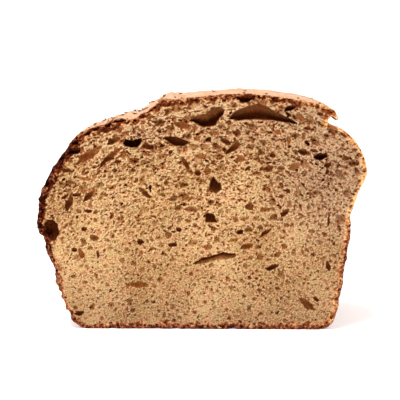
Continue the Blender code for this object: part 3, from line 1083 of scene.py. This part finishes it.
@dataclass
class CrumbFace:
    """The cut side: a fine grid trimmed to the crust's rim, with every bubble and cell sunk into it."""

    form: LoafForm
    rim: np.ndarray
    finish: OpenCrumb = OpenCrumb()
    zones: CutZones = CutZones()
    pitch: float = 0.2
    snap: float = 0.3  # of the pitch: nearer the rim than this, a point goes onto it
    reach: float = 5.0  # how far in from the rim the crust is looked for
    sheets: tuple[float, ...] = (-22.0, 20.0)  # where the face is parted, to keep each piece light
    flow_centre: Span = (0.0, 4.0)  # what the pores curve round
    flow_floor: float = 4.0  # a pore lower than this above it curves as one at this height does
    sizes: tuple[PoreSize, ...] = (
        PoreSize(1.25, 0.12, 0.50, 0.75, 0.6),
        PoreSize(0.92, 0.40, 0.50, 0.45, 0.5),
        PoreSize(0.64, 0.70, 0.48, 0.2, 0.4),
        PoreSize(0.40, 0.34, 0.36, 0.2, 0.0),
        PoreSize(0.25, 0.50, 0.34, 0.0, 0.0),
    )
    fine: float = 0.5  # pores of a smaller radius are paler low down
    finest: float = 0.3  # pores of a smaller radius are round and never go deep
    packing: float = 0.9  # of the circle that a pore of mean size covers, how much counts as covered
    # how the small pores change from the base to the crown
    turn_spread: Span = (2.2, 1.0)  # in radians, about the curve that they follow
    growth: Span = (0.85, 1.1)
    stretch: Span = (0.3, 1.0)
    cut_spread: Span = (1.05, 1.3)
    # darkness and the tones below set how dark the painted shade in the pores is
    darkness: Span = (1.0, 0.76)
    fine_tone: Span = (0.85, 1.0)
    deep_likelihood: Span = (0.15, 1.0)
    # how they differ from one to the next
    lowest_cut: float = -0.9  # the level at which the knife only just opened one
    radius_spread: Span = (0.7, 1.3)
    tone_spread: Span = (0.5, 1.3)
    lobe_offset: Span = (0.45, 0.9)  # of the radius
    lobe_radius: Span = (0.85, 0.45)
    deep_share: float = 0.04  # how many of them go deep
    deep_cuts: Span = (0.3, 0.6)
    deep_tones: Span = (0.5, 0.9)
    paler: float = 0.12  # how much less dark their painted shade is on the right
    bend: float = 0.5  # how far a pore's outline strays
    bend_size: float = 2.6
    ragged: float = 0.22
    ragged_size: float = 0.8
    # how the ridges that get the painted highlight are found
    ridge_size: float = 0.4
    ridge_height: float = 0.22
    ridge_cap: float = 0.6  # hollows count as no deeper than this when the ridges are looked for
    jagged: float = 0.35  # of its half width, how far a large bubble's edge strays
    bubble_bend: float = 0.8  # the share of the bend that a large bubble's outline takes
    cavity_bend: float = 0.7
    lit_top: float = 0.35  # how much lighter the painted shade in a large bubble is towards its top, as painted light from above
    waviness: float = 0.30
    wave_length: float = 14.0
    torn: float = 0.29
    torn_size: float = 0.6
    rim_fade: float = 0.45
    margin: float = 0.8  # how much more of the grid is looked at than a pore covers
    crust_depth: float = 1.7
    crust_browning: float = 0.42
    crust_strays: float = 0.7  # of its depth, how much the crust's inner edge comes and goes
    crust_stray_size: float = 3.2
    floured_rim: Span = (1.0, 0.2)  # how far in from the rim the flour pales the crust
    seed: int = 11
    across: np.ndarray = field(init=False)
    up: np.ndarray = field(init=False)
    bent_x: np.ndarray = field(init=False)
    bent_z: np.ndarray = field(init=False)
    sunk: np.ndarray = field(init=False)
    hollow_shade: np.ndarray = field(init=False)
    taken: np.ndarray = field(init=False)

    def build(self) -> list[bpy.types.Object]:
        """Trims the grid, sinks the pores, dresses the face and parts it into its sheets.

        Returns:
            The finished sheets.
        """
        low, high = self.rim.min(axis=0) - self.pitch, self.rim.max(axis=0) + self.pitch
        self.across, self.up = (
            np.arange(start, end + self.pitch, self.pitch) for start, end in zip(low, high)
        )
        inside, x, z, stays = self.fit_to_rim(*np.meshgrid(self.across, self.up))
        crumb = add_grid("crumb", len(self.across) - 1, len(self.up) - 1)
        self.trim(crumb, stays)
        sunk, hollow_shade = self.relief(x, z, inside)
        used = np.zeros(x.shape, dtype=bool)
        for rows in (slice(None, -1), slice(1, None)):
            for cols in (slice(None, -1), slice(1, None)):
                used[rows, cols] |= stays
        front = -self.form.length / 2.0
        move_to(crumb, np.stack([x[used], front + sunk[used], z[used]], axis=-1))
        # a painted highlight on the ridges, where the face stands above its surroundings, but none in dark
        # hollows
        shallow = np.minimum(sunk, self.ridge_cap)
        painted_highlight_mask = np.clip((self.soften(shallow, self.ridge_size) - shallow) / self.ridge_height, 0.0, 1.0)
        painted_highlight_mask *= 1.0 - smooth_step(0.15, 0.5, hollow_shade)  # none where a hollow is dark
        give_attribute(crumb, "painted_highlight_mask", painted_highlight_mask[used])
        self.dress(crumb, x[used], z[used], inside[used], hollow_shade[used])
        return self.part(crumb)

    def window(self, low: Sequence[float], high: Sequence[float]) -> tuple[slice, slice]:
        """Finds the part of the grid between two corners.

        Args:
            low: the lower corner's x and z.
            high: the upper corner's x and z.

        Returns:
            Its rows and columns.
        """
        rows = np.searchsorted(self.up, (low[1], high[1]))
        cols = np.searchsorted(self.across, (low[0], high[0]))
        return slice(*rows), slice(*cols)

    def around(self, x: float, z: float, reach: float) -> tuple[slice, slice]:
        """The grid's rows and columns within reach of a place."""
        return self.window((x - reach, z - reach), (x + reach, z + reach))

    def fit_to_rim(
        self, x: np.ndarray, z: np.ndarray
    ) -> tuple[np.ndarray, np.ndarray, np.ndarray, np.ndarray]:
        """Finds what lies inside the rim, and draws the outermost points onto it.

        Args:
            x: the grid's x, in rows that rise.
            z: the grid's z.

        Returns:
            How far inside the rim each point is, as far as the reach, the points' x and z, and which of
            the grid's faces stay.
        """
        gap = np.full(x.shape, self.reach)
        foot_x, foot_z = x.copy(), z.copy()
        within = np.zeros(x.shape, dtype=bool)
        for start, end in sides(self.rim):
            lowest, highest = np.minimum(start, end), np.maximum(start, end)
            near = self.window(lowest - self.reach, highest + self.reach)
            at_x, at_z, away = nearest_on(start, end, x[near], z[near])
            nearer = away < gap[near]
            for whole, part in ((gap, away), (foot_x, at_x), (foot_z, at_z)):
                whole[near] = np.where(nearer, part, whole[near])
            for row in range(*np.searchsorted(self.up, (lowest[1], highest[1]))):
                share = (self.up[row] - start[1]) / (end[1] - start[1])
                within[row] ^= self.across < start[0] + share * (end[0] - start[0])
        inside = np.where(within, gap, -gap)
        deep = inside > self.snap * self.pitch
        stays = deep[:-1, :-1] | deep[1:, :-1] | deep[:-1, 1:] | deep[1:, 1:]
        return np.where(deep, inside, 0.0), np.where(deep, x, foot_x), np.where(deep, z, foot_z), stays

    def trim(self, crumb: bpy.types.Object, stays: np.ndarray) -> None:
        """Deletes the faces outside the rim.

        Args:
            crumb: the grid.
            stays: which of its faces stay.
        """
        self.choose_faces(crumb, ~stays.ravel())
        bpy.ops.object.mode_set(mode="EDIT")
        bpy.ops.mesh.delete(type="FACE")
        bpy.ops.mesh.select_all(action="SELECT")
        bpy.ops.mesh.flip_normals()
        bpy.ops.object.mode_set(mode="OBJECT")

    def choose_faces(self, crumb: bpy.types.Object, chosen: np.ndarray) -> None:
        """Selects some of a mesh's faces and no others.

        Args:
            crumb: the mesh object.
            chosen: whether each face is selected.
        """
        pick(crumb)
        bpy.ops.object.mode_set(mode="EDIT")
        bpy.ops.mesh.select_mode(type="FACE")
        bpy.ops.mesh.select_all(action="DESELECT")
        bpy.ops.object.mode_set(mode="OBJECT")
        crumb.data.polygons.foreach_set("select", chosen)

    def relief(self, x: np.ndarray, z: np.ndarray, inside: np.ndarray) -> tuple[np.ndarray, np.ndarray]:
        """Sinks the pores.

        Args:
            x: the grid's x.
            z: the grid's z.
            inside: how far inside the rim each point is.

        Returns:
            How deep each point lies, and how dark its painted shade is there, from 0 to 1.
        """
        flat = np.stack([x.ravel(), np.zeros(x.size), z.ravel()], axis=-1)

        def wobble(size: float, offset: float) -> np.ndarray:
            """Noise in the grid's shape, from the part that the offset picks."""
            return noise_at(flat, size, Vector((offset, 2.0, 5.0))).reshape(x.shape)

        self.bent_x, self.bent_z = (
            line + self.bend * wobble(self.bend_size, slow) + self.ragged * wobble(self.ragged_size, quick)
            for line, slow, quick in ((x, 9.1, 1.3), (z, 5.7, 8.2))
        )
        self.sunk, self.hollow_shade = np.zeros(x.shape), np.zeros(x.shape)
        self.taken = np.zeros(x.shape, dtype=bool)
        random = np.random.default_rng(self.seed)
        for bubble in BUBBLES:
            self.claim(bubble.x, bubble.z, bubble.half_width, 0.0)
        for size in self.sizes:
            self.scatter(size, random)
        self.line_crust(random)
        for bubble in BUBBLES:
            self.open_bubble(bubble)
        for cavity in CAVITIES:
            self.open_cavity(cavity)
        # the knife tore the walls, but not the floors of deep hollows
        rough = self.torn * (1.0 - 0.7 * smooth_step(0.3, 0.8, self.hollow_shade))
        self.sunk += rough * (wobble(self.torn_size, 3.3) + 0.5)
        self.sunk += self.waviness * (wobble(self.wave_length, 6.0) + 0.5)
        fade = smooth_step(0.0, self.rim_fade, inside)
        return self.sunk * fade, self.hollow_shade * fade

    def scatter(self, size: PoreSize, random: np.random.Generator) -> None:
        """Sinks pores of one size all over, finer towards the base and drawn out towards the crown.

        Args:
            size: the pores' size and share.
            random: where the draws come from.
        """
        width, height = np.ptp(self.across), np.ptp(self.up)
        count = int(size.cover * width * height / (math.pi * size.radius**2 * self.packing))
        right, upward, tilt, large, long, level, dark, keep, sinks = random.random((count, 9)).T
        xs, zs = self.across[0] + right * width, self.up[0] + upward * height
        high = self.zones.high.share(xs, zs)
        above = np.maximum(self.flow_floor, zs - self.flow_centre[1])
        turns = np.arctan2(self.flow_centre[0] - xs, above) + (tilt - 0.5) * mix(*self.turn_spread, high)
        radii = size.radius * mix(*self.radius_spread, large) * mix(*self.growth, high)
        stretches = 1.0 + mix(*self.stretch, high) * long
        levels = self.lowest_cut + mix(*self.cut_spread, high) * level
        tones = size.tone * mix(*self.tone_spread, dark) * mix(*self.darkness, 1.0 - (1.0 - high) ** 2)
        tones *= 1.0 - self.paler * self.zones.paler.share(xs, zs)
        if size.radius < self.fine:
            tones *= mix(*self.fine_tone, high)
        likely = mix(*self.deep_likelihood, high) if size.radius > self.finest else 0.0
        deep = sinks < self.deep_share * likely
        levels = np.where(deep, mix(*self.deep_cuts, level), levels)
        tones = np.where(deep, mix(*self.deep_tones, dark), tones)
        lobes = random.random((count, 2, 3))
        kept = keep < 1.0 - (1.0 - high) * size.rises
        pores = np.stack([xs, zs, turns, radii, stretches, levels, tones], axis=-1)[kept]
        adds = not size.wall
        for (x, z, turn, radius, stretch, level_here, tone), sides in zip(pores, lobes[kept]):
            if size.wall and not self.claim(x, z, 1.1 * radius, size.wall):
                continue
            self.sink(x, z, radius * stretch, radius / stretch**0.5, turn, level_here, tone, adds)
            if radius < self.finest:
                continue
            for angle, share, twist in sides:
                away, part = (radius * mix(*span, share) for span in (self.lobe_offset, self.lobe_radius))
                self.sink(
                    x + away * math.cos(math.tau * angle), z + away * math.sin(math.tau * angle),
                    part * stretch, part, turn + twist - 0.5, level_here, tone, adds,
                )

    def claim(self, x: float, z: float, radius: float, wall: float) -> bool:
        """Takes a round place on the cut, unless one that is taken lies too near.

        Args:
            x: its middle.
            z: its middle.
            radius: how large it is.
            wall: how much is left between it and the next.

        Returns:
            Whether it was free.
        """
        reach = radius + wall
        here = self.around(x, z, reach)
        away = np.hypot(self.across[None, here[1]] - x, self.up[here[0], None] - z)
        if wall and (self.taken[here] & (away < reach)).any():
            return False
        self.taken[here] |= away < radius
        return True

    def line_crust(self, random: np.random.Generator) -> None:
        """Opens the flattened pores that lie just under the crust, most of them up on the left, with dark
        painted shade in them.

        Args:
            random: where the draws come from.
        """
        zones = (self.zones.lined_left, self.zones.lined_top, self.zones.unlined)
        for start, end in sides(self.rim):
            along = end - start
            length = float(np.hypot(*along))
            inward = np.array([-along[1], along[0]]) / max(TINY, length)
            left, top, right = (zone.share(*start) for zone in zones)
            # the nearer the upper left and the crown, the more, the larger and the further in
            likely = 0.12 - 0.1 * right + 0.9 * max(left, 0.8 * top)
            for at, off, chance, large, twist, dark in random.random((2, 6)):
                if chance > likely * length * 0.5:
                    continue
                radius = 0.28 + 0.55 * large * max(left, top, 0.25)
                away = 0.5 + radius + 2.0 * off * max(left, 0.6 * top, 0.2)
                x, z = start + at * along + inward * away
                turn = math.atan2(along[1], along[0]) + twist - 0.5
                tone = mix(0.72, 0.96, dark) * (1.0 - 0.2 * top * (1.0 - left))
                self.sink(x, z, radius * 1.7, radius, turn, 0.4, tone)

    def soften(self, values: np.ndarray, size: float) -> np.ndarray:
        """Smooths a grid of values.

        Args:
            values: the grid.
            size: over how many millimetres.

        Returns:
            The smoothed grid.
        """
        waves = [np.fft.fftfreq(count, self.pitch) for count in values.shape]
        spread = np.exp(-2.0 * (math.pi * size) ** 2 * (waves[0][:, None] ** 2 + waves[1][None, :] ** 2))
        return np.fft.ifft2(np.fft.fft2(values) * spread).real

    def sink(
        self, x: float, z: float, along: float, across: float, turn: float, level: float, tone: float,
        adds: bool = False,
    ) -> None:
        """Sinks one small pore: a bubble that the knife cut at some level.

        Args:
            x: its middle.
            z: its middle.
            along: its half length.
            across: its half width.
            turn: its tilt in radians.
            level: from -1, where the knife only just left its floor, through 0, its middle, to 1.
            tone: how dark its painted shade would be if it were deep.
            adds: whether it deepens what is there, and not only what lies higher than its own floor.
        """
        reach = along + self.margin
        here = self.around(x, z, reach)
        dx, dz = self.bent_x[here] - x, self.bent_z[here] - z
        cos, sin = math.cos(turn), math.sin(turn)
        square = ((dx * cos + dz * sin) / along) ** 2 + ((dz * cos - dx * sin) / across) ** 2
        opening = 1.0 - level**2
        open_here = square < opening
        if not open_here.any():
            return
        bowl = np.sqrt(np.clip(1.0 - square, 0.0, 1.0))
        depth = np.where(open_here, across * (level + bowl), 0.0)
        # painted shade, fully dark where the pore is as deep as one and a half times the half width of its
        # opening
        dark = np.clip(depth / (1.5 * across * math.sqrt(opening)), 0.0, 1.0) * tone
        if adds:
            self.sunk[here] += 0.7 * depth
            self.hollow_shade[here] += 0.8 * dark * (1.0 - self.hollow_shade[here])
            return
        self.sunk[here] = np.maximum(self.sunk[here], depth)
        self.hollow_shade[here] = np.maximum(self.hollow_shade[here], dark)

    def carve(
        self, here: tuple[slice, slice], within: np.ndarray, depth: np.ndarray, tone: np.ndarray
    ) -> None:
        """Opens a large hollow, in which nothing of the small pores stays.

        Args:
            here: the rows and columns that it lies in.
            within: how fully each point is inside it, from 0 to 1.
            depth: how deep each point lies.
            tone: how dark the painted shade at each point is.
        """
        for whole, part in ((self.sunk, depth), (self.hollow_shade, tone)):
            whole[here] = np.maximum(whole[here] * (1.0 - within), part)

    def open_bubble(self, bubble: Bubble) -> None:
        """Sinks one of the large bubbles, smooth inside and ragged at its edge, its painted shade lighter
        towards its top.

        Args:
            bubble: the bubble.
        """
        reach = bubble.half_length * 1.4 + self.margin
        here = self.around(bubble.x, bubble.z, reach)
        x, z = np.meshgrid(self.across[here[1]], self.up[here[0]])
        turn = math.radians(bubble.tilt)
        dx = mix(x, self.bent_x[here], self.bubble_bend) - bubble.x
        dz = mix(z, self.bent_z[here], self.bubble_bend) - bubble.z
        u = (dx * math.cos(turn) + dz * math.sin(turn)) / bubble.half_length
        v = (dz * math.cos(turn) - dx * math.sin(turn)) / bubble.half_width
        places = np.stack([u.ravel(), v.ravel(), np.full(u.size, bubble.x)], axis=-1)
        jagged = noise_at(places, 0.7, Vector((1.0, 2.0, 3.0))).reshape(u.shape)
        radius = np.hypot(u, v) * (1.0 + self.jagged * jagged)
        bowl = np.sqrt(np.clip(1.0 - radius**2, 0.0, 1.0))
        # painted light from above: the bubble's painted shade fades towards its top
        lighter = 1.0 - self.lit_top * smooth_step(-0.3, 0.8, dz / bubble.half_width)
        tone = bubble.kind.tone * smooth_step(0.0, 0.5, bowl) * lighter
        depth = bubble.kind.depth * bubble.half_width * bowl**0.7
        self.carve(here, smooth_step(1.0, 0.85, radius), depth, tone)

    def open_cavity(self, cavity: Cavity) -> None:
        """Sinks one of the openings that have a form of their own.

        Args:
            cavity: the opening.
        """
        outline = np.array(cavity.outline)
        here = self.window(outline.min(axis=0) - 1.0, outline.max(axis=0) + 1.0)
        x, z = np.meshgrid(self.across[here[1]], self.up[here[0]])
        bent_x, bent_z = (
            mix(line, bent[here], self.cavity_bend) for line, bent in ((x, self.bent_x), (z, self.bent_z))
        )
        gap = np.full(x.shape, np.inf)
        within = np.zeros(x.shape, dtype=bool)
        for start, end in sides(outline):
            gap = np.minimum(gap, nearest_on(start, end, bent_x, bent_z)[2])
            crosses = (start[1] > bent_z) != (end[1] > bent_z)
            share = (bent_z - start[1]) / ((end[1] - start[1]) or TINY)
            within ^= crosses & (bent_x < start[0] + share * (end[0] - start[0]))
        # its edge lies a quarter of a millimetre outside the outline, which runs where it looks dark
        inward = np.clip(np.where(within, gap, -gap) + 0.25, 0.0, None)
        bowl = np.sqrt(np.clip(1.0 - (1.0 - inward / inward.max()) ** 2, 0.0, 1.0))
        edge = smooth_step(0.0, 0.35, inward)
        # painted shade that changes from the foot's tone to the head's, as light and shade fall in the
        # opening
        step = np.arange(len(inward))[:, None]
        foot = np.argmax(inward > 0.0, axis=0)
        top = len(inward) - 1 - np.argmax(inward[::-1] > 0.0, axis=0)
        head = smooth_step(0.3, 0.75, (step - foot) / np.maximum(1, top - foot))  # from foot to head
        self.carve(here, edge, cavity.depth * bowl**0.6, mix(cavity.foot, cavity.head, head) * edge)

    def part(self, crumb: bpy.types.Object) -> list[bpy.types.Object]:
        """Parts the face into sheets side by side, and keeps its shading whole across their edges.

        Args:
            crumb: the whole face.

        Returns:
            The sheets.
        """
        kept = crumb.data.attributes.new("whole_normal", "FLOAT_VECTOR", "POINT")
        write_all(kept.data, "vector", read_all(crumb.data.vertices, "normal", 3))
        for limit in self.sheets:
            middles = read_all(crumb.data.polygons, "center", 3)
            self.choose_faces(crumb, middles[:, 0] < limit * MM)
            bpy.ops.object.mode_set(mode="EDIT")
            bpy.ops.mesh.separate(type="SELECTED")
            bpy.ops.object.mode_set(mode="OBJECT")
        sheets = sorted(
            (thing for thing in bpy.context.view_layer.objects if thing.name.split(".")[0] == "crumb"),
            key=lambda thing: thing.data.vertices[0].co.x,
        )
        for name, sheet in zip(("crumb_left", "crumb_middle", "crumb_right"), sheets):
            sheet.name = sheet.data.name = name
            whole = read_all(sheet.data.attributes["whole_normal"].data, "vector", 3)
            sheet.data.normals_split_custom_set_from_vertices(whole.tolist())
            sheet.data.attributes.remove(sheet.data.attributes["whole_normal"])
        return sheets

    def dress(
        self, crumb: bpy.types.Object, x: np.ndarray, z: np.ndarray, inside: np.ndarray, hollow_shade: np.ndarray
    ) -> None:
        """Gives the face what its finish reads, and the finish.

        Args:
            crumb: the mesh object.
            x: the points' x.
            z: the points' z.
            inside: how far inside the rim each is.
            hollow_shade: how dark the painted shade at each point is.
        """
        share = {name: zone.share(x, z) for name, zone in vars(self.zones).items()}
        left = share["upper_left"]
        left_wall = share["left_wall"] * (1.0 - left)
        top = share["top"] * (1.0 - 0.85 * share["below_lip"])
        right = share["upper_right"] * (1.0 - top)
        base = share["base"] * (1.0 - left)
        right_wall = share["right_wall"] * (1.0 - base)
        floured = smooth_step(*self.floured_rim, inside / mix(1.0, 1.5, share["lip"]))
        # each part of the rim, how much thicker its crust is in millimetres and how much browner
        parts = (
            (left, 2.3, 0.55),
            (left * share["shoulder"], 0.0, -0.44),
            (left_wall, 0.7, 0.4),
            (left_wall * share["left_foot"], -1.8, -0.45),
            (top * (1.0 - left), 1.4, 0.27),
            (top * floured * mix(0.35, 0.8, share["lip"]), 0.0, -1.0),
            # on the upper right the rim is painted pale amber: partly a crust that browned less, partly a
            # painted highlight along the lit rim
            (right, 0.3, -0.8),
            (right_wall, 1.3, 0.22),
            (base, 1.5, 0.47),
            (base * share["right_foot"], 0.0, -0.35),
        )
        flat = np.stack([x, np.zeros(x.size), z], axis=-1)
        strays = 1.0 + self.crust_strays * noise_at(flat, self.crust_stray_size, Vector((4.0, 4.0, 9.0)))
        thick = strays * (self.crust_depth + sum(held * thicker for held, thicker, _ in parts))
        char = self.crust_browning + sum(held * browner for held, _, browner in parts)
        dense = 0.7 * share["low"] + 0.3 * base + share["right"] * mix(0.5, 0.9, share["above_low"])
        give_attribute(crumb, "dense", np.clip(dense, 0.0, 1.0))
        give_attribute(crumb, "cool", np.maximum(0.32 * share["cool_right"], 0.25 * share["cool_top"]))
        give_attribute(crumb, "hollow_shade", hollow_shade)
        give_attribute(crumb, "crust", np.clip(1.0 - inside / thick, 0.0, 1.0))
        give_attribute(crumb, "char", np.clip(char, -0.3, 1.0))
        shade(crumb, self.finish.material())


# ---- The bran ----


@dataclass
class BranFlakes:
    """Flakes of bran that stuck to the top: thin curled scales, strewn over the crown and the shoulder."""

    crust: bpy.types.Object
    finish: ToastedBran = ToastedBran()
    count: int = 90
    length: float = 1.5
    width: float = 0.9
    thickness: float = 0.16
    curl: float = 0.3
    lean: float = 0.7  # in radians, between leaning furthest one way and the other
    lift: float = 0.12
    faces: tuple[int, int] = (6, 4)  # along and across one flake
    map_margin: float = 0.03  # of a flake's cell in the map, on each side
    crown: Zone = Zone(z=(66.0, 76.0))
    thickest: Zone = Zone(x=(-8.0, -30.0))
    right_end: float = 46.0
    behind_cut: float = 1.5
    seed: int = 5

    def build(self) -> bpy.types.Object:
        """Models one flake and strews its copies.

        Returns:
            The flakes, joined into one piece.
        """
        flake = self.model_flake()
        spots = self.choose_spots()
        cells = math.ceil(math.sqrt(len(spots)))
        form = places_of(flake)
        corners = read_all(flake.data.uv_layers[BAKE_MAP].data, "uv", 2)
        corners = corners * (1.0 - 2.0 * self.map_margin) + self.map_margin
        random = np.random.default_rng(self.seed)
        copies = []
        for number, (place, normal) in enumerate(spots):
            copy = flake.copy()
            copy.data = flake.data.copy()
            bpy.context.collection.objects.link(copy)
            forward, sideways, turn, long, wide = random.random(5)
            upright = Vector(normal).to_track_quat("Z", "Y").to_matrix()
            lean = Euler(((forward - 0.5) * self.lean, (sideways - 0.5) * self.lean, turn * math.tau))
            size = np.array([mix(0.6, 1.4, long), mix(0.7, 1.3, wide), 1.0])
            move_to(copy, (form * size) @ np.array(upright @ lean.to_matrix()).T + place)
            cell = np.array([number % cells, number // cells])
            write_all(copy.data.uv_layers[BAKE_MAP].data, "uv", (corners + cell) / cells)
            copies.append(copy)
        deselect()
        for copy in copies:
            copy.select_set(True)
        bpy.context.view_layer.objects.active = copies[0]
        bpy.ops.object.join()
        bran = bpy.context.object
        bran.name = bran.data.name = "bran_flakes"
        bpy.data.objects.remove(flake)
        bran.data.materials.append(self.finish.material())
        return bran

    def model_flake(self) -> bpy.types.Object:
        """Makes one flake: a small sheet drawn to two points, curled and given its thickness.

        Returns:
            The flake.
        """
        flake = add_grid("flake", *self.faces)
        places = places_of(flake) / places_of(flake).max()
        x, y = places[:, 0], places[:, 1]
        narrows = np.sqrt(np.clip(1.0 - 0.85 * x**2, 0.0, 1.0))
        z = self.curl * (x**2 + 0.5 * y**2)
        move_to(flake, np.stack([x * self.length / 2.0, y * narrows * self.width / 2.0, z], axis=-1))
        apply_modifier(flake, "thickness", "SOLIDIFY", thickness=self.thickness * MM, offset=0.0)
        pick(flake)
        bpy.ops.object.shade_smooth()
        return flake

    def choose_spots(self) -> list[tuple[np.ndarray, np.ndarray]]:
        """Draws where flakes lie, thickest over the left shoulder.

        Returns:
            Each one's place in millimetres and which way the crust faces there.
        """
        places = places_of(self.crust)
        normals = read_all(self.crust.data.vertices, "normal", 3)
        x, y, z = places.T
        likely = smooth_step(0.3, 0.8, normals[:, 2]) * self.crown.share(x, z)
        likely *= mix(0.07, 1.0, self.thickest.share(x, z))
        likely *= (y > y.min() + self.behind_cut) & (x < self.right_end)
        random = np.random.default_rng(self.seed)
        chosen = random.choice(len(places), self.count, replace=False, p=likely / likely.sum())
        return [(places[i] + self.lift * normals[i], normals[i]) for i in chosen]


# ---- The studio ----


@dataclass
class Studio:
    """A white sweep of floor, soft light all round, and the camera. Its sizes are in metres."""

    floor_size: float = 12.0
    floor_colour: str = "#F7F7F7"
    floor_glow: float = 0.35
    floor_roughness: float = 0.9
    camera_place: tuple[float, float, float] = (0.0395, -1.056, 0.124)
    camera_aim: tuple[float, float, float] = (-0.0006, -0.056, 0.0494)
    frame_width: float = 0.152  # what the frame spans at the cut
    sensor: float = 36.0  # in millimetres
    sight: float = 50.0  # how far the camera sees
    front_light: float = 0.55  # the soft light's strength from the front and from the back
    back_light: float = 1.15
    front_and_back: Span = (-0.9, -0.15)  # where it changes, on a line from -1 in front to 1 behind
    lamp_place: tuple[float, float, float] = (-0.24, -0.8, 1.3)
    lamp_aim: tuple[float, float, float] = (0.0, 0.0, 0.04)
    lamp_size: float = 0.45
    lamp_power: float = 30.0

    def build(self) -> None:
        """Lays the floor, hangs the lights and sets the camera."""
        self.lay_floor()
        self.light()
        self.set_camera()

    def lay_floor(self) -> None:
        """Lays a large plain floor that glows a little, as white acrylic lit from below does."""
        deselect()
        bpy.ops.mesh.primitive_grid_add(x_subdivisions=8, y_subdivisions=8, size=self.floor_size)
        floor = bpy.context.object
        floor.name = "studio_floor"
        made, shader = new_material("acrylic_white_lit_from_below")
        feed(shader, {"Base Color": linear(self.floor_colour), "Roughness": self.floor_roughness})
        feed(shader, {"Emission Color": linear(WHITE), "Emission Strength": self.floor_glow})
        floor.data.materials.append(made)

    def light(self) -> None:
        """Hangs soft white light all round, less of it in front, and a lamp above and to the left."""
        world = bpy.data.worlds.new("white_studio")
        bpy.context.scene.world = world
        world.use_nodes = True
        node = partial(add_node, world.node_tree)
        back = node("SeparateXYZ", {0: node("TexCoord", output="Generated")}, "Y")
        front, rear = self.front_and_back
        span = {"From Min": front, "From Max": rear, "To Min": self.front_light, "To Max": self.back_light}
        strength = node("MapRange", {"Value": back, **span}, "Result")
        feed(world.node_tree.nodes["Background"], {"Color": linear(WHITE), "Strength": strength})
        deselect()
        place = Vector(self.lamp_place)
        bpy.ops.object.light_add(type="AREA", location=place)
        lamp = bpy.context.object
        lamp.name = "softbox"
        lamp.data.size = self.lamp_size
        lamp.data.energy = self.lamp_power
        lamp.rotation_euler = (Vector(self.lamp_aim) - place).to_track_quat("-Z", "Y").to_euler()

    def set_camera(self) -> None:
        """Sets the photograph's view, as far off and as high as it was taken from."""
        deselect()
        place, aim = Vector(self.camera_place), Vector(self.camera_aim)
        bpy.ops.object.camera_add(location=place)
        camera = bpy.context.object
        camera.rotation_euler = (aim - place).to_track_quat("-Z", "Y").to_euler()
        camera.data.sensor_width = self.sensor
        camera.data.lens = self.sensor * (aim - place).length / self.frame_width
        camera.data.clip_end = self.sight
        bpy.context.scene.camera = camera
        bpy.context.scene.view_settings.view_transform = "Standard"


def place_on_loaf(piece: bpy.types.Object) -> None:
    """Lets a piece ride with the loaf and stand for its solid, and reports it.

    Args:
        piece: the finished piece.
    """
    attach(piece, BODY)
    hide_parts(NODE)
    triangles = sum(len(face.vertices) - 2 for face in piece.data.polygons)
    log.info("%s: %d triangles", piece.name, triangles)


def main() -> None:
    """Builds the pieces in order, then the studio round them."""
    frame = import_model()
    logging.basicConfig(level=logging.INFO, format="%(name)s: %(message)s")
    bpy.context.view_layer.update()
    log.info("CAD nodes: %s", ", ".join(frame["nodes"]))
    form = LoafForm()
    crust = Crust(form)
    skin = crust.build()
    place_on_loaf(skin)
    for sheet in CrumbFace(form, crust.rim).build():
        place_on_loaf(sheet)
    place_on_loaf(BranFlakes(skin).build())
    Studio().build()


if __name__ == "__main__":
    main()
